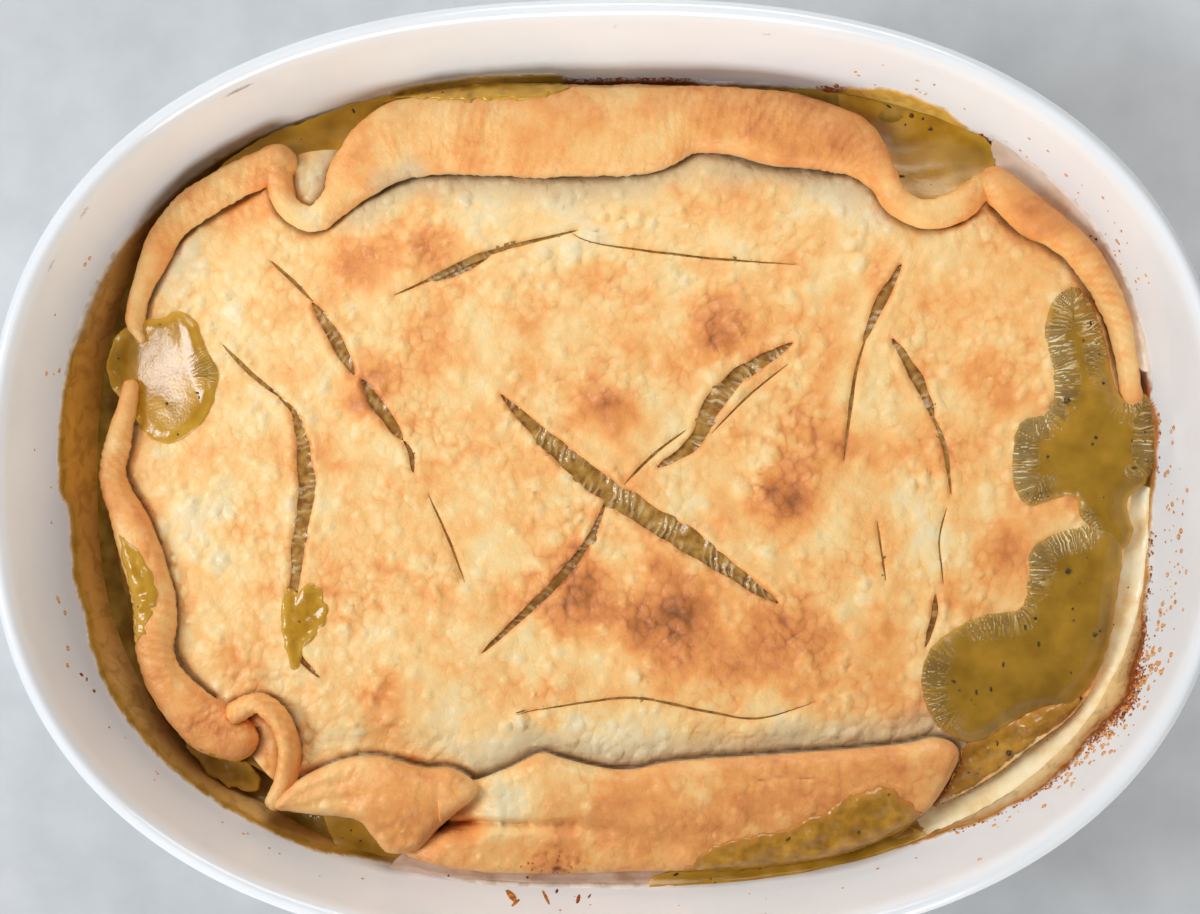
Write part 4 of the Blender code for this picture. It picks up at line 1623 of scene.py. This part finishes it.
def make_glaze():
    """Stoneware under a glossy white tin glaze: glassy, a little uneven, worn grey at the rim."""
    material, shader = new_material("white_stoneware_glaze")
    place = add_node(material, "ShaderNodeTexCoord").outputs["Object"]
    cloud = add_node(material, "ShaderNodeTexNoise", {"Vector": place}, scale=22.0, detail=3.0)
    white = add_node(material, "ShaderNodeValToRGB", {"Fac": cloud.outputs["Fac"]})
    set_ramp(white, (0.35, "eceff2"), (0.65, "f1f4f7"))
    # A metal utensil's marks break up over the pits of the glaze, about 0.4 mm apart
    pits = add_node(material, "ShaderNodeTexNoise", {"Vector": place}, scale=2400.0, detail=2.0)
    wear = add_node(material, "ShaderNodeAttribute", attribute_name="wear").outputs["Fac"]
    rough_wear = add_node(
        material, "ShaderNodeMath", {0: pits.outputs["Fac"], 1: wear}, operation="MULTIPLY"
    )
    mark = add_node(material, "ShaderNodeValToRGB", {"Fac": rough_wear.outputs["Value"]})
    set_ramp(mark, (0.2, 0.0), (0.42, 0.85))
    base = add_node(
        material,
        "ShaderNodeMixRGB",
        {"Fac": mark.outputs["Color"], "Color1": white.outputs["Color"]},
        Color2=linear("8f8a84"),
    )
    # Orange peel of a dipped glaze, with waves about 9 mm long
    peel = add_node(material, "ShaderNodeTexNoise", {"Vector": place}, scale=110.0, detail=1.0)
    bump = add_node(
        material, "ShaderNodeBump", {"Height": peel.outputs["Fac"]}, strength=0.25, distance=0.0004
    )
    gloss = add_node(material, "ShaderNodeValToRGB", {"Fac": cloud.outputs["Fac"]})
    set_ramp(gloss, (0.3, 0.1), (0.7, 0.17))
    feed(
        shader,
        {
            "Base Color": base.outputs["Color"],
            "Roughness": gloss.outputs["Color"],
            "Normal": bump.outputs["Normal"],
        },
    )
    return material


def make_crust_finish():
    """Baked shortcrust: matt and mealy where pale, fat and golden where browned."""
    material, shader = new_material("baked_shortcrust")
    place = add_node(material, "ShaderNodeTexCoord").outputs["Object"]
    bake, damp_and_shade, pebbled, crack_shade = (
        add_node(material, "ShaderNodeAttribute", attribute_name=name).outputs["Fac"]
        for name in ("bake", "damp_and_shade", "pebbled", "crack_shade")
    )
    # Steam raised the surface in pebbles, 2 to 3 mm across, whose seams baked a little darker
    warped = add_node(material, "ShaderNodeTexNoise", {"Vector": place}, scale=220.0, detail=1.0)
    spread = add_node(
        material,
        "ShaderNodeVectorMath",
        {0: warped.outputs["Color"], 1: (0.003, 0.003, 0.003), 2: place},
        operation="MULTIPLY_ADD",
    )
    cells = add_node(
        material,
        "ShaderNodeTexVoronoi",
        {"Vector": spread.outputs["Vector"]},
        feature="SMOOTH_F1",
        scale=400.0,
        smoothness=0.3,
    )
    seams = add_node(
        material,
        "ShaderNodeMath",
        {0: cells.outputs["Distance"], 1: cells.outputs["Distance"]},
        operation="MULTIPLY",
    )
    pebbles = add_node(
        material, "ShaderNodeMath", {0: seams.outputs["Value"], 1: pebbled}, operation="MULTIPLY"
    )
    seamed = add_node(
        material,
        "ShaderNodeMath",
        {0: pebbles.outputs["Value"], 1: 0.16, 2: bake},
        operation="MULTIPLY_ADD",
    )
    # Browning follows the fat's pockets, 2 to 5 mm across, and the flour's mealiness, 0.7 mm
    pocket = add_node(
        material, "ShaderNodeTexNoise", {"Vector": place}, scale=300.0, detail=2.0, distortion=0.4
    )
    meal = add_node(material, "ShaderNodeTexNoise", {"Vector": place}, scale=1400.0, detail=3.0)
    patchy = add_node(
        material,
        "ShaderNodeMath",
        {0: pocket.outputs["Fac"], 1: 0.13, 2: seamed.outputs["Value"]},
        operation="MULTIPLY_ADD",
    )
    mealy = add_node(
        material,
        "ShaderNodeMath",
        {0: meal.outputs["Fac"], 1: 0.08, 2: patchy.outputs["Value"]},
        operation="MULTIPLY_ADD",
    )
    browned = add_node(material, "ShaderNodeValToRGB", {"Fac": mealy.outputs["Value"]})
    set_ramp(
        browned,
        (0.24, "f0dcb0"),
        (0.36, "f8d494"),
        (0.46, "f8c27a"),
        (0.57, "f2a85e"),
        (0.7, "dc8a4a"),
        (0.84, "ac6632"),
        (1.0, "54341a"),
    )
    # Grey of unbaked dough beside the flaps' lips, partly painted shade
    unbaked_and_shaded = add_node(
        material,
        "ShaderNodeMixRGB",
        {"Fac": damp_and_shade, "Color1": browned.outputs["Color"]},
        Color2=linear("d8c096"),
    )
    # Painted shade: dark brown in the crack beside a fold, where juices also dried brown
    base = add_node(
        material,
        "ShaderNodeMixRGB",
        {"Fac": crack_shade, "Color1": unbaked_and_shaded.outputs["Color"]},
        Color2=linear("64482c"),
    )
    domed = add_node(
        material,
        "ShaderNodeMath",
        {0: pebbles.outputs["Value"], 1: -1.3, 2: pocket.outputs["Fac"]},
        operation="MULTIPLY_ADD",
    )
    # Flaky grain, 0.5 mm
    grain = add_node(material, "ShaderNodeTexNoise", {"Vector": place}, scale=2000.0, detail=2.0)
    relief = add_node(
        material,
        "ShaderNodeMath",
        {0: grain.outputs["Fac"], 1: 0.3, 2: domed.outputs["Value"]},
        operation="MULTIPLY_ADD",
    )
    bump = add_node(
        material,
        "ShaderNodeBump",
        {"Height": relief.outputs["Value"]},
        strength=0.7,
        distance=0.0006,
    )
    gloss = add_node(material, "ShaderNodeValToRGB", {"Fac": pocket.outputs["Fac"]})
    set_ramp(gloss, (0.3, 0.34), (0.7, 0.56))
    feed(
        shader,
        {
            "Base Color": base.outputs["Color"],
            "Roughness": gloss.outputs["Color"],
            "Normal": bump.outputs["Normal"],
            "IOR": 1.45,
            "Subsurface Weight": 0.12,
            "Subsurface Radius": (1.0, 0.55, 0.25),
            "Subsurface Scale": 0.0015,
        },
    )
    return material


GRAVY_SCATTER = (1.0, 0.6, 0.15)  # red goes deepest into gravy


def make_gravy_finish(name, thin, mid, thick, patch, gloss):
    """Flour-thickened gravy, wet or dried: translucent, and more or less glossy with fat.

    Its three colours lie in patches, whose size is in millimetres.
    """
    material, shader = new_material(name)
    place = add_node(material, "ShaderNodeTexCoord").outputs["Object"]
    cloud = add_node(
        material, "ShaderNodeTexNoise", {"Vector": place}, scale=1000.0 / patch, detail=4.0
    )
    base = add_node(material, "ShaderNodeValToRGB", {"Fac": cloud.outputs["Fac"]})
    set_ramp(base, (0.35, thick), (0.5, mid), (0.68, thin))
    # Beads of fat and flour, 1.5 mm across
    beads = add_node(material, "ShaderNodeTexNoise", {"Vector": place}, scale=650.0, detail=3.0)
    bump = add_node(
        material, "ShaderNodeBump", {"Height": beads.outputs["Fac"]}, strength=0.3, distance=0.0006
    )
    feed(
        shader,
        {
            "Base Color": base.outputs["Color"],
            "Roughness": gloss,
            "Normal": bump.outputs["Normal"],
            "IOR": 1.4,
            "Subsurface Weight": 0.2,
            "Subsurface Radius": GRAVY_SCATTER,
            "Subsurface Scale": 0.002,
        },
    )
    return material


def make_skin_finish(name, edge, thick, mid, thin, crest_highlight, span=1.6, patch=7.0):
    """Set gravy: the same, under a dried skin that wrinkles along the shore.

    The edge's colour gives way to the others over a span from the shore, and the wrinkles'
    crests take a pale colour, a painted highlight. The span and the patches are in millimetres.
    """
    material, shader = new_material(name)
    place = add_node(material, "ShaderNodeTexCoord").outputs["Object"]
    shore, reach, wrinkled = (
        add_node(material, "ShaderNodeAttribute", attribute_name=name).outputs["Fac"]
        for name in ("shore", "reach", "wrinkled")
    )
    cloud = add_node(
        material, "ShaderNodeTexNoise", {"Vector": place}, scale=1000.0 / patch, detail=4.0
    )
    body = add_node(material, "ShaderNodeValToRGB", {"Fac": cloud.outputs["Fac"]})
    set_ramp(body, (0.3, thick), (0.5, mid), (0.72, thin))
    depth = add_node(material, "ShaderNodeMapRange", {"Value": shore}, from_max=span)
    # Thin gravy at the shore lets the crust's yellow through; the slits' dark brown shore is partly
    # painted shade under the cut's edge
    base = add_node(
        material,
        "ShaderNodeMixRGB",
        {"Fac": depth.outputs["Result"], "Color2": body.outputs["Color"]},
        Color1=linear(edge),
    )
    # Wrinkles run in from the shore, about 1 mm apart and up to 5 mm long, here and there
    sway = add_node(material, "ShaderNodeTexNoise", {"Vector": place}, scale=200.0, detail=3.0)
    swayed = add_node(
        material, "ShaderNodeMath", {0: sway.outputs["Fac"], 1: 16.0}, operation="MULTIPLY"
    )
    phase = add_node(
        material,
        "ShaderNodeMath",
        {0: reach, 1: 5.8, 2: swayed.outputs["Value"]},
        operation="MULTIPLY_ADD",
    )
    waves = add_node(material, "ShaderNodeMath", {0: phase.outputs["Value"]}, operation="SINE")
    fade = add_node(
        material, "ShaderNodeMapRange", {"Value": shore}, from_min=6.5, from_max=2.5
    )
    strength = add_node(
        material,
        "ShaderNodeMath",
        {0: fade.outputs["Result"], 1: wrinkled},
        operation="MULTIPLY",
    )
    wrinkles = add_node(
        material,
        "ShaderNodeMath",
        {0: waves.outputs["Value"], 1: strength.outputs["Value"]},
        operation="MULTIPLY",
    )
    # Painted highlight: the wrinkles' crests are mixed towards a pale colour
    crest_highlighted = add_node(
        material,
        "ShaderNodeMixRGB",
        {"Fac": wrinkles.outputs["Value"], "Color1": base.outputs["Color"]},
        Color2=linear(crest_highlight),
    )
    # The skin's own grain, 0.7 mm
    grain = add_node(material, "ShaderNodeTexNoise", {"Vector": place}, scale=1400.0, detail=3.0)
    relief = add_node(
        material,
        "ShaderNodeMath",
        {0: grain.outputs["Fac"], 1: 0.2, 2: wrinkles.outputs["Value"]},
        operation="MULTIPLY_ADD",
    )
    bump = add_node(
        material,
        "ShaderNodeBump",
        {"Height": relief.outputs["Value"]},
        strength=0.7,
        distance=0.0004,
    )
    feed(
        shader,
        {
            "Base Color": crest_highlighted.outputs["Color"],
            "Roughness": 0.2,
            "Normal": bump.outputs["Normal"],
            "IOR": 1.5,
            "Subsurface Weight": 0.25,
            "Subsurface Radius": GRAVY_SCATTER,
            "Subsurface Scale": 0.002,
        },
    )
    return material


def make_film_finish():
    """Gravy dried to a film on the glaze: thin, satin, mottled, and charred along its edge."""
    material, shader = new_material("dried_gravy_film")
    place = add_node(material, "ShaderNodeTexCoord").outputs["Object"]
    tint = add_node(material, "ShaderNodeAttribute", attribute_name="tint").outputs["Color"]
    burnt = add_node(material, "ShaderNodeAttribute", attribute_name="burnt").outputs["Fac"]
    # Runs and dried drops, 3 to 6 mm across
    blots = add_node(
        material, "ShaderNodeTexNoise", {"Vector": place}, scale=240.0, detail=4.0, distortion=0.8
    )
    shade = add_node(material, "ShaderNodeValToRGB", {"Fac": blots.outputs["Fac"]})
    set_ramp(shade, (0.34, "c0b090"), (0.5, "f4efe4"), (0.66, "ffffff"))
    mottled = add_node(
        material,
        "ShaderNodeMixRGB",
        {"Fac": 0.6, "Color1": tint, "Color2": shade.outputs["Color"]},
        blend_type="MULTIPLY",
    )
    # Char gathers in grains about 0.8 mm across
    grains = add_node(material, "ShaderNodeTexNoise", {"Vector": place}, scale=1250.0, detail=3.0)
    charring = add_node(
        material, "ShaderNodeMath", {0: grains.outputs["Fac"], 1: burnt}, operation="MULTIPLY"
    )
    char = add_node(
        material,
        "ShaderNodeMapRange",
        {"Value": charring.outputs["Value"]},
        from_min=0.22,
        from_max=0.5,
    )
    base = add_node(
        material,
        "ShaderNodeMixRGB",
        {"Fac": char.outputs["Result"], "Color1": mottled.outputs["Color"]},
        Color2=linear("82400e"),
    )
    bump = add_node(
        material, "ShaderNodeBump", {"Height": blots.outputs["Fac"]}, strength=0.3, distance=0.0004
    )
    feed(
        shader,
        {
            "Base Color": base.outputs["Color"],
            "Roughness": 0.3,
            "Normal": bump.outputs["Normal"],
            "IOR": 1.45,
        },
    )
    return material


def make_grain_finish(name, dark, mid, light, grain, roughness):
    """Small charred or dried bits, each unevenly coloured."""
    material, shader = new_material(name)
    place = add_node(material, "ShaderNodeTexCoord").outputs["Object"]
    cloud = add_node(
        material, "ShaderNodeTexNoise", {"Vector": place}, scale=1000.0 / grain, detail=3.0
    )
    base = add_node(material, "ShaderNodeValToRGB", {"Fac": cloud.outputs["Fac"]})
    set_ramp(base, (0.35, dark), (0.5, mid), (0.65, light))
    bump = add_node(
        material, "ShaderNodeBump", {"Height": cloud.outputs["Fac"]}, strength=0.4, distance=0.0002
    )
    feed(
        shader,
        {
            "Base Color": base.outputs["Color"],
            "Roughness": roughness,
            "Normal": bump.outputs["Normal"],
        },
    )
    return material


# ---------------------------------------------------------------- stage, camera and light


def make_stage():
    """A plain pale worktop."""
    material, shader = new_material("pale_worktop")
    place = add_node(material, "ShaderNodeTexCoord").outputs["Object"]
    cloud = add_node(material, "ShaderNodeTexNoise", {"Vector": place}, scale=60.0, detail=6.0)
    base = add_node(material, "ShaderNodeValToRGB", {"Fac": cloud.outputs["Fac"]})
    set_ramp(base, (0.3, "c4c7ca"), (0.7, "d0d3d6"))
    feed(shader, {"Base Color": base.outputs["Color"], "Roughness": 0.6})
    bm = bmesh.new()
    bmesh.ops.create_grid(bm, x_segments=2, y_segments=2, size=2.5)
    mesh = bpy.data.meshes.new("worktop")
    bm.to_mesh(mesh)
    bm.free()
    mesh.materials.append(material)
    floor = bpy.data.objects.new("worktop", mesh)
    bpy.context.scene.collection.objects.link(floor)


CAMERA_PLACE = Vector((0.020, 0.0, 0.535))
CAMERA_TARGET = Vector((0.0, 0.0044, 0.075))
CAMERA_ROLL = 0.006
LENS = 59.5


def make_camera():
    """Nearly straight above the pie, a little to its right."""
    data = bpy.data.cameras.new("camera")
    data.lens = LENS
    data.sensor_width = 36.0
    data.clip_start = 0.01
    camera = bpy.data.objects.new("camera", data)
    bpy.context.scene.collection.objects.link(camera)
    forward = (CAMERA_TARGET - CAMERA_PLACE).normalized()
    upward = Vector((math.sin(CAMERA_ROLL), math.cos(CAMERA_ROLL), 0))
    right = forward.cross(upward).normalized()
    upward = right.cross(forward)
    turn = Matrix((right, upward, -forward)).transposed()
    camera.matrix_world = Matrix.Translation(CAMERA_PLACE) @ turn.to_4x4()
    bpy.context.scene.camera = camera


def add_light(name, place, size, power, colour):
    """A soft square light that faces the pie."""
    data = bpy.data.lights.new(name, "AREA")
    data.size = size
    data.energy = power
    data.color = linear(colour)[:3]
    light = bpy.data.objects.new(name, data)
    light.location = place
    light.rotation_euler = (-Vector(place)).to_track_quat("-Z", "Y").to_euler()
    bpy.context.scene.collection.objects.link(light)


def make_light():
    """A window on the left, paler light from the far side and low from the near side."""
    add_light("window", (-1.0, 0.0, 0.9), 0.45, 10.5, "f6faff")
    add_light("far_side", (0.15, 1.0, 0.9), 0.8, 10.4, "fffdfa")
    add_light("near_side", (0.2, -1.22, 0.5), 0.8, 13.4, "fffcf8")
    world = bpy.data.worlds.new("room")
    world.use_nodes = True
    backdrop = world.node_tree.nodes["Background"]
    backdrop.inputs["Color"].default_value = linear("eef2f8")
    backdrop.inputs["Strength"].default_value = 0.08
    bpy.context.scene.world = world
    bpy.context.scene.view_settings.view_transform = "Standard"


def main():
    """The stage, the dish, the pie in it and the gravy on it."""
    make_camera()
    make_light()
    make_stage()
    make_dish(make_glaze())
    crust_finish = make_crust_finish()
    lid = make_lid(crust_finish)
    folds = make_folds(crust_finish)
    flaps = make_flaps(crust_finish)
    for dough in (folds, *flaps):
        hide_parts("crust")
    gravy = make_gravy_finish("pie_gravy", "bc9448", "a47e30", "8a681e", 5.0, 0.13)
    filling = make_filling(gravy)
    # The slit skin's dark brown edge colour is partly painted shade under the cut dough
    slit_skin = make_skin_finish(
        "slit_gravy_skin", "7c481c", "805420", "ac803c", "c89e58", "ecd4a4", patch=2.6
    )
    slit_gravy = make_slit_gravy(slit_skin)
    make_wall_film(make_film_finish())
    skin = make_skin_finish("set_gravy_skin", "c89a44", "906a1e", "a27a26", "b6882e", "f0dcaa")
    cream = make_gravy_finish("dried_cream_film", "fff2d0", "fce6b8", "eecc92", 7.0, 0.25)
    glaze_gravy = make_skin_finish(
        "gravy_glaze", "c8873c", "9c6c24", "b8842c", "d09c44", "e8cc90", 2.4, 3.5
    )
    ditch = make_skin_finish(
        "ditch_gravy", "d0a038", "a4761a", "bc8a26", "d0a23e", "e8d898", 2.6
    )
    blush = make_gravy_finish("pink_cream_film", "f8e6d4", "f4dac2", "eac6a4", 6.0, 0.3)
    tan = make_gravy_finish("tan_cream_film", "e6ccb8", "dcbca4", "c8a284", 6.0, 0.3)
    dried = {"cream_shelf": cream, "wall_cream": blush, "flap_cream": tan}
    soaked = [*make_pools(skin, ditch), *make_patches(ditch, dried)]
    soaked += make_glazes(glaze_gravy, ditch, lid, folds, *flaps, filling, slit_gravy)
    make_spatter(make_grain_finish("browned_spatter", "c88440", "e0a05c", "ecc090", 1.0, 0.4))
    make_crumbs(make_grain_finish("burnt_crumbs", "70300c", "ac5818", "dc963c", 1.2, 0.45), flaps[0])
    herbs = make_grain_finish("pepper_and_thyme", "241809", "443412", "665620", 0.8, 0.45)
    make_seasoning(herbs, *soaked)


main()
